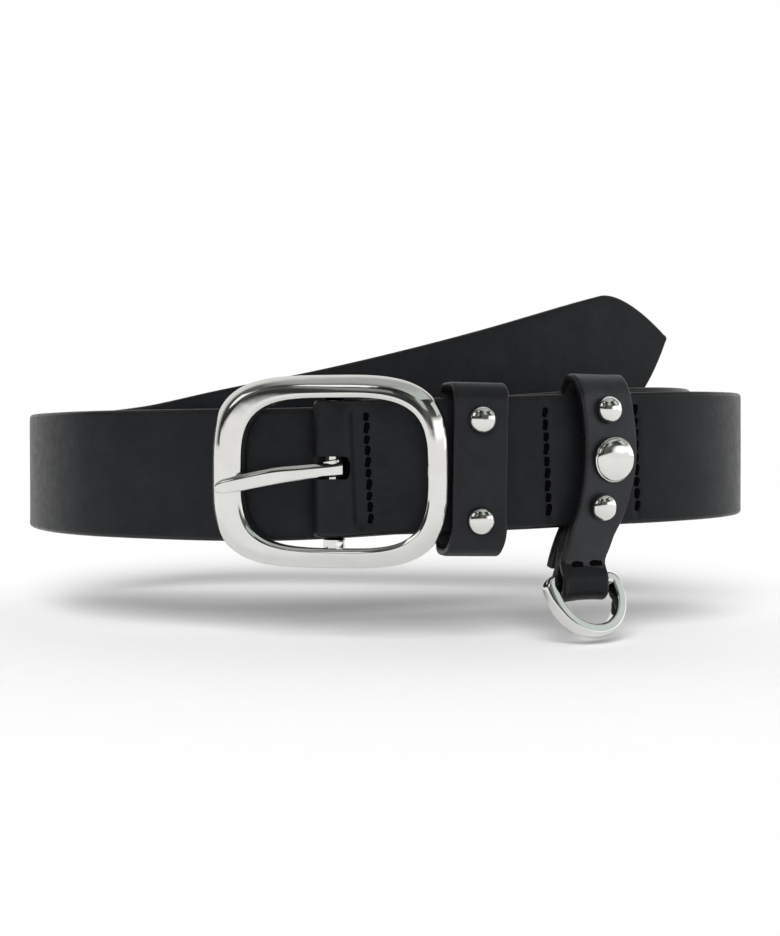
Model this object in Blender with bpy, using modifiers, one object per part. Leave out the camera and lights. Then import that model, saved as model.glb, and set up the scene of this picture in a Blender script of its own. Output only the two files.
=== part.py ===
"""Studded leather belt: one strap coiled in two turns and standing on edge, a centre-bar
buckle, a riveted keeper, and a hanger with a domed cap and a ring.

All sizes are in millimetres. +X runs along the front of the coil, +Y away from the
buckle, +Z up. The origin is the middle of the coil at the height of its lower edge.
"""

import math

import bpy
import numpy as np
from mathutils import Matrix

MM = 0.001
GAP = 0.3
POCKET_GAP = 0.5
STUD_GAP = 0.4

# Strap
STRAP_WIDTH = 35.0
STRAP_THICKNESS = 3.0
STRAP_EDGE_ROUND = 0.7
TIP_LENGTH = 20.0
TIP_BLUNTNESS = 0.5
TIP_FULLNESS = 1.65
HOLE_DIAMETER = 4.5
HOLE_COUNT = 5
FIRST_HOLE_FROM_TIP = 100.0
HOLE_PITCH = 25.0

# Buckle
BAR_X = -9.4
BAR_Y = -63.6
BAR_RADIUS = 2.2
BAR_FOOT_RADIUS = 3.5
BAR_FOOT_TOP = 0.5
BAR_FOOT_BOTTOM = 1.6
BUCKLE_MIDDLE_Z = 18.6
FRAME_HALF_WIDTH = 31.2
FRAME_HALF_HEIGHT = 24.8
FRAME_MIDDLE_FROM_BAR = -1.1
OPENING_HALF_WIDTH = 24.35
OPENING_HALF_HEIGHT = 19.3
OPENING_MIDDLE_FROM_BAR = 0.85
OPENING_MIDDLE_DROP = 0.28
FRAME_SQUARENESS = 3.5
FRAME_BACK_BEHIND_BAR = -1.0
FRAME_TURN = math.radians(10.5)
SLOT_WIDTH = 5.8
SLOT_MIDDLE_Z = 19.5
SLOT_REACH = 4.2
SLOT_END_ROUND = 1.2
SLOT_BEHIND = 5.52
SLOT_LEFT = 5.7
PRONG_WIDTH = 4.0
PRONG_EYE_RADIUS = 3.35
PRONG_GAP = 0.25
PRONG_LEAN = math.radians(9.3)
PRONG_EYE_Z = 19.6

# Keeper
KEEPER_X = 26.6
KEEPER_WIDTH = 14.3
KEEPER_THICKNESS = 2.2
KEEPER_TIP_ROOM = 3.9
KEEPER_ROOM_ABOVE = 1.3
KEEPER_ROOM_BELOW = 4.0
KEEPER_LEAN = math.radians(3.0)
KEEPER_DRIFT_FRONT = 0.7
KEEPER_DRIFT_BACK = 2.3
KEEPER_DRIFT_HEIGHT = 6.5
KEEPER_SKEW = 1.9

# Hanger and ring
HANGER_X = 58.4
HANGER_WIDTH = 15.6
HANGER_THICKNESS = 2.2
RING_BAR_Z = -10.2
RING_HALF_WIDTH = 12.2
RING_DROP = 15.8
RING_RADIAL = 3.1
RING_DEPTH = 3.9
RING_SWING = math.radians(30.0)

# Middle of the strap's thickness, from the buckle bar round the coil to the tip.
# Columns: x, y, z.
COIL = (
    (-1.0, -65.4, 19.6),
    (13.0, -64.1, 20.0),
    (27.0, -62.7, 20.5),
    (41.0, -60.6, 21.0),
    (55.0, -57.8, 21.6),
    (71.0, -54.1, 22.1),
    (83.5, -49.6, 22.5),
    (94.6, -42.0, 22.8),
    (104.3, -29.0, 23.1),
    (108.5, -12.0, 23.3),
    (106.7, 6.0, 23.3),
    (95.8, 22.0, 23.1),
    (75.0, 36.0, 22.8),
    (42.0, 46.0, 22.0),
    (0.0, 51.5, 20.9),
    (-40.0, 55.5, 19.8),
    (-70.0, 55.5, 19.1),
    (-92.0, 49.5, 18.5),
    (-106.0, 35.0, 18.1),
    (-109.8, 16.0, 17.8),
    (-105.0, -4.0, 17.7),
    (-93.5, -24.0, 17.6),
    (-78.0, -39.5, 17.6),
    (-60.0, -49.5, 17.6),
    (-42.0, -56.2, 17.6),
    (-25.0, -57.9, 17.7),
    (-9.4, -55.9, 18.2),
    (9.0, -53.9, 19.3),
    (27.0, -52.2, 20.6),
    (43.0, -49.4, 21.9),
    (58.0, -45.4, 23.1),
    (73.0, -39.6, 24.1),
    (85.0, -30.5, 24.6),
    (93.0, -17.5, 24.8),
    (95.0, -2.0, 24.8),
    (89.5, 13.5, 24.6),
    (77.0, 25.0, 24.2),
    (55.0, 34.0, 23.4),
    (20.0, 41.0, 22.1),
    (-20.0, 45.5, 20.3),
    (-55.0, 47.0, 18.5),
    (-79.0, 43.0, 17.4),
    (-94.5, 31.5, 16.7),
    (-99.8, 15.0, 16.5),
    (-96.5, -3.0, 16.7),
    (-87.0, -19.0, 17.1),
    (-74.0, -31.0, 18.0),
    (-59.2, -37.5, 19.6),
    (-42.1, -38.9, 23.2),
    (-19.2, -35.3, 28.1),
    (12.3, -27.5, 35.9),
    (42.6, -18.5, 44.7),
    (73.8, -7.0, 54.6),
    (91.0, 0.0, 59.2),
)

# Free room between the two layers of the buckle end, open where the keeper and the
# hanger pass between them. Columns: x, room.
POCKETS = (
    (-1.0, 0.3),
    (11.6, 0.3),
    (16.6, 3.2),
    (34.5, 3.2),
    (40.0, 0.3),
    (45.9, 0.3),
    (50.1, 3.2),
    (66.7, 3.2),
    (70.9, 0.3),
    (75.0, 0.3),
)

# Middle of the hanger's thickness from its cut back end, up behind the strap, over it,
# down the front, round the ring bar and up to its tucked end.
# Columns: distance out from the strap's middle, z, shift along the strap, turn in degrees.
HANGER = (
    (-4.5, -7.2, -4.9, 18.0),
    (-3.8, -5.0, -4.4, 14.0),
    (-3.3, -1.8, -3.1, 7.5),
    (-3.1, 2.6, -1.0, 0.8),
    (-3.1, 10.0, 0.0, 0.0),
    (-3.1, 24.0, 0.0, 0.0),
    (-3.1, 36.0, 0.2, 0.5),
    (-2.9, 39.8, 0.3, 1.2),
    (-1.7, 41.8, 0.3, 4.5),
    (0.6, 43.0, 0.3, 9.5),
    (3.1, 42.2, 0.6, 12.0),
    (4.9, 39.8, 1.0, 13.0),
    (5.5, 36.0, 1.6, 13.0),
    (5.8, 29.0, 2.4, 11.5),
    (5.9, 21.0, 2.4, 11.0),
    (5.7, 13.0, 1.6, 11.0),
    (5.4, 7.5, 0.1, 12.0),
    (4.8, 3.2, -1.6, 13.5),
    (3.5, -1.4, -3.0, 16.0),
    (2.4, -4.8, -3.6, 17.5),
    (3.7, -7.6, -3.7, 18.0),
)
HANGER_TAIL = (
    (-1.7, -7.5, -3.7, 18.0),
    (-0.5, -4.8, -3.6, 17.5),
    (-0.3, -2.0, -3.2, 16.5),
)
HANGER_FOLD_OUT = 0.95
HANGER_FOLD_SHIFT = -3.7
HANGER_FOLD_RADIUS = 3.95
HANGER_FOLD_TURN = 18.0

# Heights of the studs on the hanger and on the keeper
HANGER_RIVET_HEIGHTS = (34.6, 9.4)
HANGER_CAP_HEIGHT = 21.7
KEEPER_RIVET_HEIGHTS = (31.8, 6.2)
KEEPER_RIVET_ALONG = 0.2

# Studs, turned about their own axis from the crown down. Columns: radius, height.
RIVET = (
    (0.0, 3.0),
    (0.9, 2.9),
    (1.9, 2.5),
    (2.8, 1.75),
    (3.35, 0.8),
    (3.5, 0.15),
    (3.3, 0.0),
    (1.2, 0.0),
    (1.2, -3.0),
    (2.8, -3.0),
    (2.8, -3.35),
    (2.4, -3.6),
    (0.0, -3.6),
)
CAP = (
    (0.0, 2.9),
    (1.7, 2.8),
    (3.3, 2.4),
    (4.6, 1.75),
    (5.5, 0.95),
    (5.9, 0.35),
    (5.75, 0.0),
    (1.8, 0.0),
    (1.8, -3.0),
    (3.6, -3.0),
    (3.6, -3.35),
    (3.2, -3.6),
    (0.0, -3.6),
)
STUD_SEGMENTS = 22


# Materials


def black_leather(piece, lightness, roughness):
    """Smooth finished black leather for one piece."""
    material = bpy.data.materials.new(piece + "_leather")
    material.use_nodes = True
    shader = material.node_tree.nodes["Principled BSDF"]
    shader.inputs["Base Color"].default_value = (lightness, lightness, lightness * 1.08, 1.0)
    shader.inputs["Roughness"].default_value = roughness
    return material


def bright_nickel(piece, roughness):
    """Polished nickel plate for one piece."""
    material = bpy.data.materials.new(piece + "_nickel")
    material.use_nodes = True
    shader = material.node_tree.nodes["Principled BSDF"]
    shader.inputs["Base Color"].default_value = (0.83, 0.82, 0.80, 1.0)
    shader.inputs["Metallic"].default_value = 1.0
    shader.inputs["Roughness"].default_value = roughness
    return material


# Curves and frames


def clear_scene():
    for obj in list(bpy.data.objects):
        bpy.data.objects.remove(obj, do_unlink=True)


def new_collection(name):
    collection = bpy.data.collections.new(name)
    bpy.context.scene.collection.children.link(collection)
    return collection


def unit(vector):
    return vector / np.linalg.norm(vector)


def spline(points, spacing, start_slope=None):
    """Points every `spacing` along the cubic curve through the given points."""
    points = np.array(points, float)
    count = len(points)
    steps = np.linalg.norm(np.diff(points[:, :3], axis=0), axis=1)
    reach = np.concatenate([[0.0], np.cumsum(steps)])
    system = np.eye(count)
    target = np.zeros_like(points)
    for i in range(1, count - 1):
        system[i, i - 1 : i + 2] = (steps[i - 1], 2 * (steps[i - 1] + steps[i]), steps[i])
        after = (points[i + 1] - points[i]) / steps[i]
        before = (points[i] - points[i - 1]) / steps[i - 1]
        target[i] = 6 * (after - before)
    if start_slope is not None:
        system[0, :2] = (2 * steps[0], steps[0])
        target[0] = 6 * ((points[1] - points[0]) / steps[0] - np.array(start_slope))
    bends = np.linalg.solve(system, target)
    places = np.linspace(0.0, reach[-1], max(2, round(reach[-1] / spacing)) + 1)
    spans = np.clip(np.searchsorted(reach, places, side="right") - 1, 0, count - 2)
    wide = steps[spans][:, None]
    right = (places[:, None] - reach[spans][:, None]) / wide
    left = 1.0 - right
    straight = left * points[spans] + right * points[spans + 1]
    curved = (left**3 - left) * bends[spans] + (right**3 - right) * bends[spans + 1]
    return straight + curved * wide**2 / 6.0


def eased(x, rows):
    """The value at x of a table whose rows are joined by level-ended steps."""
    for (x0, value0), (x1, value1) in zip(rows, rows[1:]):
        if x <= x1:
            share = min(max((x - x0) / (x1 - x0), 0.0), 1.0)
            share = share * share * (3.0 - 2.0 * share)
            return value0 + share * (value1 - value0)
    return rows[-1][1]


def directions(points):
    """Unit direction of travel at every point of a curve."""
    return np.array([unit(row) for row in np.gradient(points, axis=0)])


def thinned(points, longest, sharpest):
    """Indices of a dense curve's points, closer together where it bends."""
    ways = directions(points[:, :3])
    kept = [0]
    length = 0.0
    for i in range(1, len(points) - 1):
        length += np.linalg.norm(points[i, :3] - points[i - 1, :3])
        bend = math.acos(float(np.clip(ways[i] @ ways[kept[-1]], -1.0, 1.0)))
        if length >= longest or bend >= sharpest:
            kept.append(i)
            length = 0.0
    kept.append(len(points) - 1)
    return kept


def strap_axes(direction):
    """Upward and outward axes of the strap where it travels in this direction."""
    up = np.array((0.0, 0.0, 1.0))
    up = unit(up - (up @ direction) * direction)
    return up, np.cross(direction, up)


def front_frame(front, x):
    """Middle point, travel, upward and outward axes of the buckle end at this x."""
    nearest = next(i for i in range(len(front)) if front[i, 0] >= x)
    travel = unit(front[nearest + 1] - front[nearest - 1])
    up, outward = strap_axes(travel)
    return front[nearest], travel, up, outward


# Mesh building


def object_from(name, vertices, faces, collection, material=None):
    mesh = bpy.data.meshes.new(name)
    mesh.from_pydata([tuple(float(c) * MM for c in v) for v in vertices], [], faces)
    mesh.update()
    obj = bpy.data.objects.new(name, mesh)
    collection.objects.link(obj)
    if material:
        mesh.materials.append(material)
    return obj


def baked(obj, sharp_angle=math.radians(38)):
    """Applies an object's modifiers and shades its round faces smooth."""
    bpy.context.view_layer.update()
    shown = obj.evaluated_get(bpy.context.evaluated_depsgraph_get())
    mesh = bpy.data.meshes.new_from_object(shown)
    obj.modifiers.clear()
    obj.data = mesh
    mesh.shade_smooth()
    mesh.set_sharp_from_angle(angle=sharp_angle)
    return obj


def leather_sheet(name, middles, sides, half_widths, thickness, closed, collection, material):
    """A strap of one thickness whose two edges lie half a width each side of its middle."""
    middles = np.array(middles)
    sides = np.array(sides)
    reach = np.array(half_widths)[:, None]
    vertices = np.concatenate([middles - sides * reach, middles + sides * reach])
    count = len(middles)
    faces = []
    for i in range(count if closed else count - 1):
        after = (i + 1) % count
        faces.append((i, after, after + count, i + count))
    obj = object_from(name, vertices, faces, collection, material)
    thick = obj.modifiers.new("Thickness", "SOLIDIFY")
    thick.thickness = thickness * MM
    thick.offset = 0.0
    thick.use_even_offset = True
    thick.use_quality_normals = True
    rounded = obj.modifiers.new("Rounded edges", "BEVEL")
    rounded.width = STRAP_EDGE_ROUND * MM
    rounded.segments = 1
    rounded.limit_method = "ANGLE"
    rounded.angle_limit = math.radians(60)
    return baked(obj)


def loft(name, rings, closed, collection, material=None):
    """A solid through a row of closed sections with the same number of points."""
    count = len(rings)
    points = len(rings[0])
    vertices = [point for ring in rings for point in ring]
    faces = []
    for i in range(count if closed else count - 1):
        after = (i + 1) % count
        for j in range(points):
            following = (j + 1) % points
            faces.append(
                (
                    i * points + j,
                    i * points + following,
                    after * points + following,
                    after * points + j,
                )
            )
    if not closed:
        faces.append(tuple(reversed(range(points))))
        faces.append(tuple((count - 1) * points + j for j in range(points)))
    return object_from(name, vertices, faces, collection, material)


def round_bar(name, stations, collection, segments=24):
    """A closed round bar through stations of (middle point, radius) on one straight line."""
    start = np.array(stations[0][0], float)
    axis = unit(np.array(stations[-1][0], float) - start)
    side = unit(np.cross(axis, (0.0, 1.0, 0.0) if abs(axis[1]) < 0.9 else (1.0, 0.0, 0.0)))
    other = np.cross(axis, side)
    turn = np.linspace(0.0, 2.0 * math.pi, segments, endpoint=False)
    rings = []
    for middle, radius in stations:
        rings.append(
            [middle + radius * (math.cos(a) * side + math.sin(a) * other) for a in turn]
        )
    return loft(name, rings, False, collection)


def cylinder(name, start, end, radius, collection, segments=24):
    """A closed round bar of one radius."""
    return round_bar(name, ((start, radius), (end, radius)), collection, segments)


def cutter(obj):
    obj.hide_render = True
    obj.display_type = "WIRE"
    return obj


def boolean(obj, other, operation):
    step = obj.modifiers.new(other.name, "BOOLEAN")
    step.operation = operation
    step.solver = "EXACT"
    step.object = other
    return step


def turned_stud(name, profile, collection, material):
    """A stud turned from its profile about its own Z axis."""
    edges = [(i, i + 1) for i in range(len(profile) - 1)]
    mesh = bpy.data.meshes.new(name)
    mesh.from_pydata([(r * MM, 0.0, z * MM) for r, z in profile], edges, [])
    obj = bpy.data.objects.new(name, mesh)
    collection.objects.link(obj)
    mesh.materials.append(material)
    screw = obj.modifiers.new("Turned", "SCREW")
    screw.axis = "Z"
    screw.steps = STUD_SEGMENTS
    screw.render_steps = STUD_SEGMENTS
    screw.use_merge_vertices = True
    screw.merge_threshold = 0.00005
    screw.use_smooth_shade = True
    return obj


def set_on(obj, point, outward, up):
    """Places a stud with its axis along `outward` and its foot at `point`."""
    across = unit(np.cross(up, outward))
    upward = np.cross(outward, across)
    turn = Matrix([[float(axis[i]) for axis in (across, upward, outward)] for i in range(3)])
    obj.location = [float(value) * MM for value in point]
    obj.rotation_euler = turn.to_euler()


def origin_on(obj, point):
    """Moves an object's origin to a point without moving its mesh."""
    place = [float(value) * MM for value in point]
    obj.data.transform(Matrix.Translation([-value for value in place]))
    obj.location = place
    return obj


# Strap


def bar_fold(radius):
    """Points round the buckle bar, from the turned-back layer to the front layer."""
    points = []
    for degrees in range(42, 283, 6):
        angle = math.radians(degrees)
        points.append(
            (
                BAR_X + radius * math.cos(angle),
                BAR_Y + radius * math.sin(angle),
                COIL[0][2] - 0.3,
            )
        )
    return np.array(points)


def front_curve():
    """The coil's middle line from the bar fold to the tip."""
    fold = bar_fold(BAR_RADIUS + GAP + STRAP_THICKNESS / 2)
    slope = unit(fold[-1] - fold[-2])
    return spline([tuple(fold[-1]), *COIL], 0.5, start_slope=slope)


def turned_back_curve(front):
    """The inner layer of the buckle end, from its cut end back to the bar fold."""
    first = next(i for i in range(len(front)) if front[i, 0] >= POCKETS[0][0])
    last = next(i for i in range(len(front)) if front[i, 0] > POCKETS[-1][0])
    rows = []
    for i in range(first, last):
        travel = unit(front[i + 1] - front[i - 1])
        outward = strap_axes(travel)[1]
        distance = STRAP_THICKNESS + eased(front[i, 0], POCKETS)
        rows.append(front[i] - outward * distance)
    rows = np.array(rows[::-1])
    fold = bar_fold(BAR_RADIUS + GAP + STRAP_THICKNESS / 2)
    start_way = unit(rows[-1] - rows[-2])
    end_way = unit(fold[1] - fold[0])
    span = np.linalg.norm(fold[0] - rows[-1])
    joined = []
    for share in np.linspace(0.0, 1.0, 12)[1:-1]:
        joined.append(
            (2 * share**3 - 3 * share**2 + 1) * rows[-1]
            + (share**3 - 2 * share**2 + share) * span * start_way
            + (-2 * share**3 + 3 * share**2) * fold[0]
            + (share**3 - share**2) * span * end_way
        )
    return np.concatenate([rows, np.array(joined), fold[:-1]])


def half_width_at(from_tip):
    """Half the strap's width at this distance from the point of the tip."""
    share = min((from_tip + TIP_BLUNTNESS) / TIP_LENGTH, 1.0)
    return STRAP_WIDTH / 2 * (1.0 - (1.0 - share) ** TIP_FULLNESS)


def build_strap(front, parts, cutters):
    whole = np.concatenate([turned_back_curve(front), front])
    lengths = np.concatenate(
        [[0.0], np.cumsum(np.linalg.norm(np.diff(whole, axis=0), axis=1))]
    )
    from_tip = lengths[-1] - lengths
    kept = [i for i in thinned(whole, 8.0, math.radians(11)) if from_tip[i] > TIP_LENGTH]
    for distance in (19.5, 17.0, 14.5, 12.0, 9.5, 7.2, 5.2, 3.4, 1.6, 0.3):
        kept.append(int(np.argmin(np.abs(from_tip - distance))))
    ways = directions(whole)
    sides = [strap_axes(ways[i])[0] for i in kept]
    widths = [half_width_at(from_tip[i]) for i in kept]
    strap = leather_sheet(
        "strap", whole[kept], sides, widths, STRAP_THICKNESS, False, parts,
        black_leather("strap", 0.012, 0.36),
    )
    for number in range(HOLE_COUNT):
        distance = FIRST_HOLE_FROM_TIP + number * HOLE_PITCH
        i = int(np.argmin(np.abs(from_tip - distance)))
        outward = strap_axes(ways[i])[1]
        hole = cylinder(
            f"strap_hole_{number + 1}", whole[i] - 4.0 * outward, whole[i] + 4.0 * outward,
            HOLE_DIAMETER / 2, cutters, 20,
        )
        boolean(strap, cutter(hole), "DIFFERENCE")
    boolean(strap, cutter(prong_slot(cutters)), "DIFFERENCE")
    return baked(strap)


def prong_slot(cutters):
    """A flat slot with one round end that passes through both layers at the fold."""
    half = SLOT_WIDTH / 2
    straight_to = BAR_X + SLOT_REACH - SLOT_END_ROUND
    outline = [(BAR_X - SLOT_LEFT, -half)]
    for degrees in range(-90, 91, 15):
        angle = math.radians(degrees)
        outline.append((straight_to + SLOT_END_ROUND * math.cos(angle), half * math.sin(angle)))
    outline.append((BAR_X - SLOT_LEFT, half))
    rings = []
    for y in (BAR_Y - 9.0, BAR_Y + SLOT_BEHIND):
        rings.append([(x, y, SLOT_MIDDLE_Z + z) for x, z in reversed(outline)])
    return loft("prong_slot_cutter", rings, False, cutters)


# Buckle


def frame_point(along, depth, height):
    """A point of the buckle given from its bar, turned with the frame about that bar."""
    return np.array(
        (
            BAR_X + along * math.cos(FRAME_TURN) + depth * math.sin(FRAME_TURN),
            BAR_Y - along * math.sin(FRAME_TURN) + depth * math.cos(FRAME_TURN),
            height,
        )
    )


def rounded_oblong(half_width, half_height, angle):
    """A point of an oblong with bowed sides and full round corners."""
    power = 2.0 / FRAME_SQUARENESS
    across = math.copysign(abs(math.cos(angle)) ** power, math.cos(angle))
    upward = math.copysign(abs(math.sin(angle)) ** power, math.sin(angle))
    return half_width * across, half_height * upward


def build_buckle_frame(parts, cutters):
    # Rail section from the opening outwards: share of the rail's width, depth from its back.
    section = (
        (0.00, 0.7), (0.00, 4.4), (0.19, 5.2), (0.42, 4.8), (0.62, 4.1), (0.80, 3.2),
        (0.93, 2.4), (1.00, 1.6), (0.98, 0.8), (0.88, 0.0), (0.12, 0.0),
    )
    back = FRAME_BACK_BEHIND_BAR
    rings = []
    for angle in np.linspace(0.0, 2.0 * math.pi, 80, endpoint=False):
        outer = rounded_oblong(FRAME_HALF_WIDTH, FRAME_HALF_HEIGHT, angle)
        inner = rounded_oblong(OPENING_HALF_WIDTH, OPENING_HALF_HEIGHT, angle)
        ring = []
        for share, depth in section:
            along = (
                (1 - share) * (inner[0] + OPENING_MIDDLE_FROM_BAR)
                + share * (outer[0] + FRAME_MIDDLE_FROM_BAR)
            )
            height = (
                (1 - share) * (inner[1] - OPENING_MIDDLE_DROP) + share * outer[1]
            )
            ring.append(frame_point(along, back - depth, BUCKLE_MIDDLE_Z + height))
        rings.append(ring)
    frame = loft("buckle_frame", rings, True, parts, bright_nickel("buckle_frame", 0.10))
    top = BUCKLE_MIDDLE_Z + OPENING_HALF_HEIGHT - OPENING_MIDDLE_DROP
    bottom = BUCKLE_MIDDLE_Z - OPENING_HALF_HEIGHT - OPENING_MIDDLE_DROP
    axis = frame_point(0.0, 0.0, 0.0)
    stations = (
        (bottom - 2.0, BAR_FOOT_RADIUS),
        (bottom - 0.2, BAR_FOOT_RADIUS),
        (bottom + BAR_FOOT_BOTTOM, BAR_RADIUS),
        (top - BAR_FOOT_TOP, BAR_RADIUS),
        (top + 0.2, BAR_FOOT_RADIUS),
        (top + 2.0, BAR_FOOT_RADIUS),
    )
    bar = round_bar(
        "buckle_bar", [(axis + (0, 0, height), radius) for height, radius in stations], cutters
    )
    boolean(frame, cutter(bar), "UNION")
    return origin_on(baked(frame, math.radians(30)), axis + (0, 0, BUCKLE_MIDDLE_Z))


def build_prong(parts, cutters):
    # Stations along the shank: distance left of the bar, depth in front of it,
    # half width, half thickness.
    shank = (
        (-0.6, 2.35, 1.95, 1.20),
        (3.0, 2.90, 1.90, 1.25),
        (8.0, 4.30, 1.90, 1.35),
        (14.0, 6.00, 1.98, 1.35),
        (20.0, 7.30, 2.05, 1.30),
        (24.5, 7.90, 2.05, 1.15),
        (27.2, 7.80, 1.85, 0.95),
        (28.8, 7.60, 1.45, 0.80),
        (29.6, 7.40, 0.95, 0.60),
    )
    rings = []
    for along, front, wide, thick in shank:
        middle_z = PRONG_EYE_Z - along * math.tan(PRONG_LEAN)
        inset = 0.55 * thick
        ring = []
        for across, out in (
            (-wide, -thick), (wide, -thick), (wide, thick - inset),
            (wide - inset * 1.1, thick), (-wide + inset * 1.1, thick), (-wide, thick - inset),
        ):
            ring.append(frame_point(-along, -(front + out), middle_z + across))
        rings.append(ring)
    prong = loft("prong", rings, False, parts, bright_nickel("prong", 0.10))
    axis = frame_point(0.0, 0.0, PRONG_EYE_Z)
    half = PRONG_WIDTH / 2
    leaned_top = frame_point(
        -half * math.sin(PRONG_LEAN), 0.0, PRONG_EYE_Z + half * math.cos(PRONG_LEAN)
    )
    eye = cylinder(
        "prong_eye", 2 * axis - leaned_top, leaned_top, PRONG_EYE_RADIUS, cutters, 24
    )
    bore = cylinder(
        "prong_bore", axis - (0, 0, 8.0), axis + (0, 0, 8.0), BAR_RADIUS + PRONG_GAP, cutters, 24,
    )
    boolean(prong, cutter(eye), "UNION")
    boolean(prong, cutter(bore), "DIFFERENCE")
    return origin_on(baked(prong, math.radians(30)), axis)


# Keeper


def keeper_section():
    """The keeper's loop seen from its end: distance out, height, from the strap's middle."""
    back = -(STRAP_THICKNESS / 2 + POCKET_GAP + KEEPER_THICKNESS / 2)
    front = STRAP_THICKNESS / 2 + GAP + KEEPER_TIP_ROOM + KEEPER_THICKNESS / 2
    top = STRAP_WIDTH / 2 + KEEPER_ROOM_ABOVE + KEEPER_THICKNESS / 2
    bottom = -(STRAP_WIDTH / 2 + KEEPER_ROOM_BELOW + KEEPER_THICKNESS / 2)
    corners = (
        (back, bottom, 2.2, 180),
        (front, bottom, 4.4, 270),
        (front, top, 3.4, 0),
        (back, top, 2.2, 90),
    )
    points = []
    for out, height, radius, start in corners:
        middle_out = out + math.copysign(radius, -out)
        middle_height = height + math.copysign(radius, -height)
        for step in range(6):
            angle = math.radians(start + step * 18)
            points.append(
                (middle_out + radius * math.cos(angle), middle_height + radius * math.sin(angle))
            )
    return points, front


def keeper_axes(front):
    middle, travel, up, outward = front_frame(front, KEEPER_X)
    leaned_up = up * math.cos(KEEPER_LEAN) + travel * math.sin(KEEPER_LEAN)
    leaned_along = travel * math.cos(KEEPER_LEAN) - up * math.sin(KEEPER_LEAN)
    return middle, leaned_along, leaned_up, outward


def keeper_drift(out, height, section, front_out):
    """How far the loop has slipped towards the buckle, most at its back and lower end."""
    lowest = min(row[1] for row in section)
    back_out = min(row[0] for row in section)
    depth_share = (front_out - out) / (front_out - back_out)
    most = KEEPER_DRIFT_FRONT + depth_share * (KEEPER_DRIFT_BACK - KEEPER_DRIFT_FRONT)
    above = depth_share * KEEPER_SKEW
    return eased(height, ((lowest, most), (lowest + KEEPER_DRIFT_HEIGHT, above)))


def build_keeper(front, parts, cutters):
    middle, along, up, outward = keeper_axes(front)
    section, front_out = keeper_section()
    middles = []
    for i, (out, height) in enumerate(section):
        out_next, height_next = section[(i + 1) % len(section)]
        gap = math.dist((out, height), (out_next, height_next))
        for share in np.linspace(0.0, 1.0, max(1, round(gap / 5.0)), endpoint=False):
            spot_out = out + share * (out_next - out)
            spot_height = height + share * (height_next - height)
            drift = keeper_drift(spot_out, spot_height, section, front_out)
            middles.append(middle + outward * spot_out + up * spot_height - along * drift)
    keeper = leather_sheet(
        "keeper", middles, [along] * len(middles), [KEEPER_WIDTH / 2] * len(middles),
        KEEPER_THICKNESS, True, parts, black_leather("keeper", 0.014, 0.42),
    )
    studs = []
    for name, height in zip(("top", "bottom"), KEEPER_RIVET_HEIGHTS):
        rise = (height - middle[2]) / up[2]
        seat = middle + up * rise + along * KEEPER_RIVET_ALONG
        seat = seat + outward * (front_out + KEEPER_THICKNESS / 2)
        hole = cylinder(
            f"keeper_hole_{name}", seat - outward * 5.0, seat + outward * 3.0, 1.5, cutters, 16
        )
        boolean(keeper, cutter(hole), "DIFFERENCE")
        stud = turned_stud(
            f"keeper_rivet_{name}", RIVET, parts, bright_nickel(f"keeper_rivet_{name}", 0.08)
        )
        set_on(stud, seat + outward * GAP, outward, up)
        studs.append(stud)
    return [baked(keeper), *studs]


# Hanger


def hanger_rows():
    """Dense rows of the hanger: distance out, z, shift along the strap, turn."""
    fold = []
    for degrees in range(0, -196, -12):
        angle = math.radians(degrees + 8)
        fold.append(
            (
                HANGER_FOLD_OUT + HANGER_FOLD_RADIUS * math.cos(angle),
                RING_BAR_Z + HANGER_FOLD_RADIUS * math.sin(angle),
                HANGER_FOLD_SHIFT,
                HANGER_FOLD_TURN,
            )
        )
    return spline([*HANGER, *fold, *HANGER_TAIL], 0.4)


def hanger_point(axes, out, height, shift, turn):
    """A point of the hanger's middle line with its sideways and outward axes."""
    middle, travel, up, outward = axes
    angle = math.radians(turn)
    flat = unit(np.array((travel[0], travel[1], 0.0)))
    ahead = np.array((flat[1], -flat[0], 0.0))
    side = flat * math.cos(angle) - ahead * math.sin(angle)
    facing = ahead * math.cos(angle) + flat * math.sin(angle)
    point = np.array((middle[0], middle[1], 0.0)) + ahead * out + flat * shift
    point[2] = height
    return point, side, facing


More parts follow.
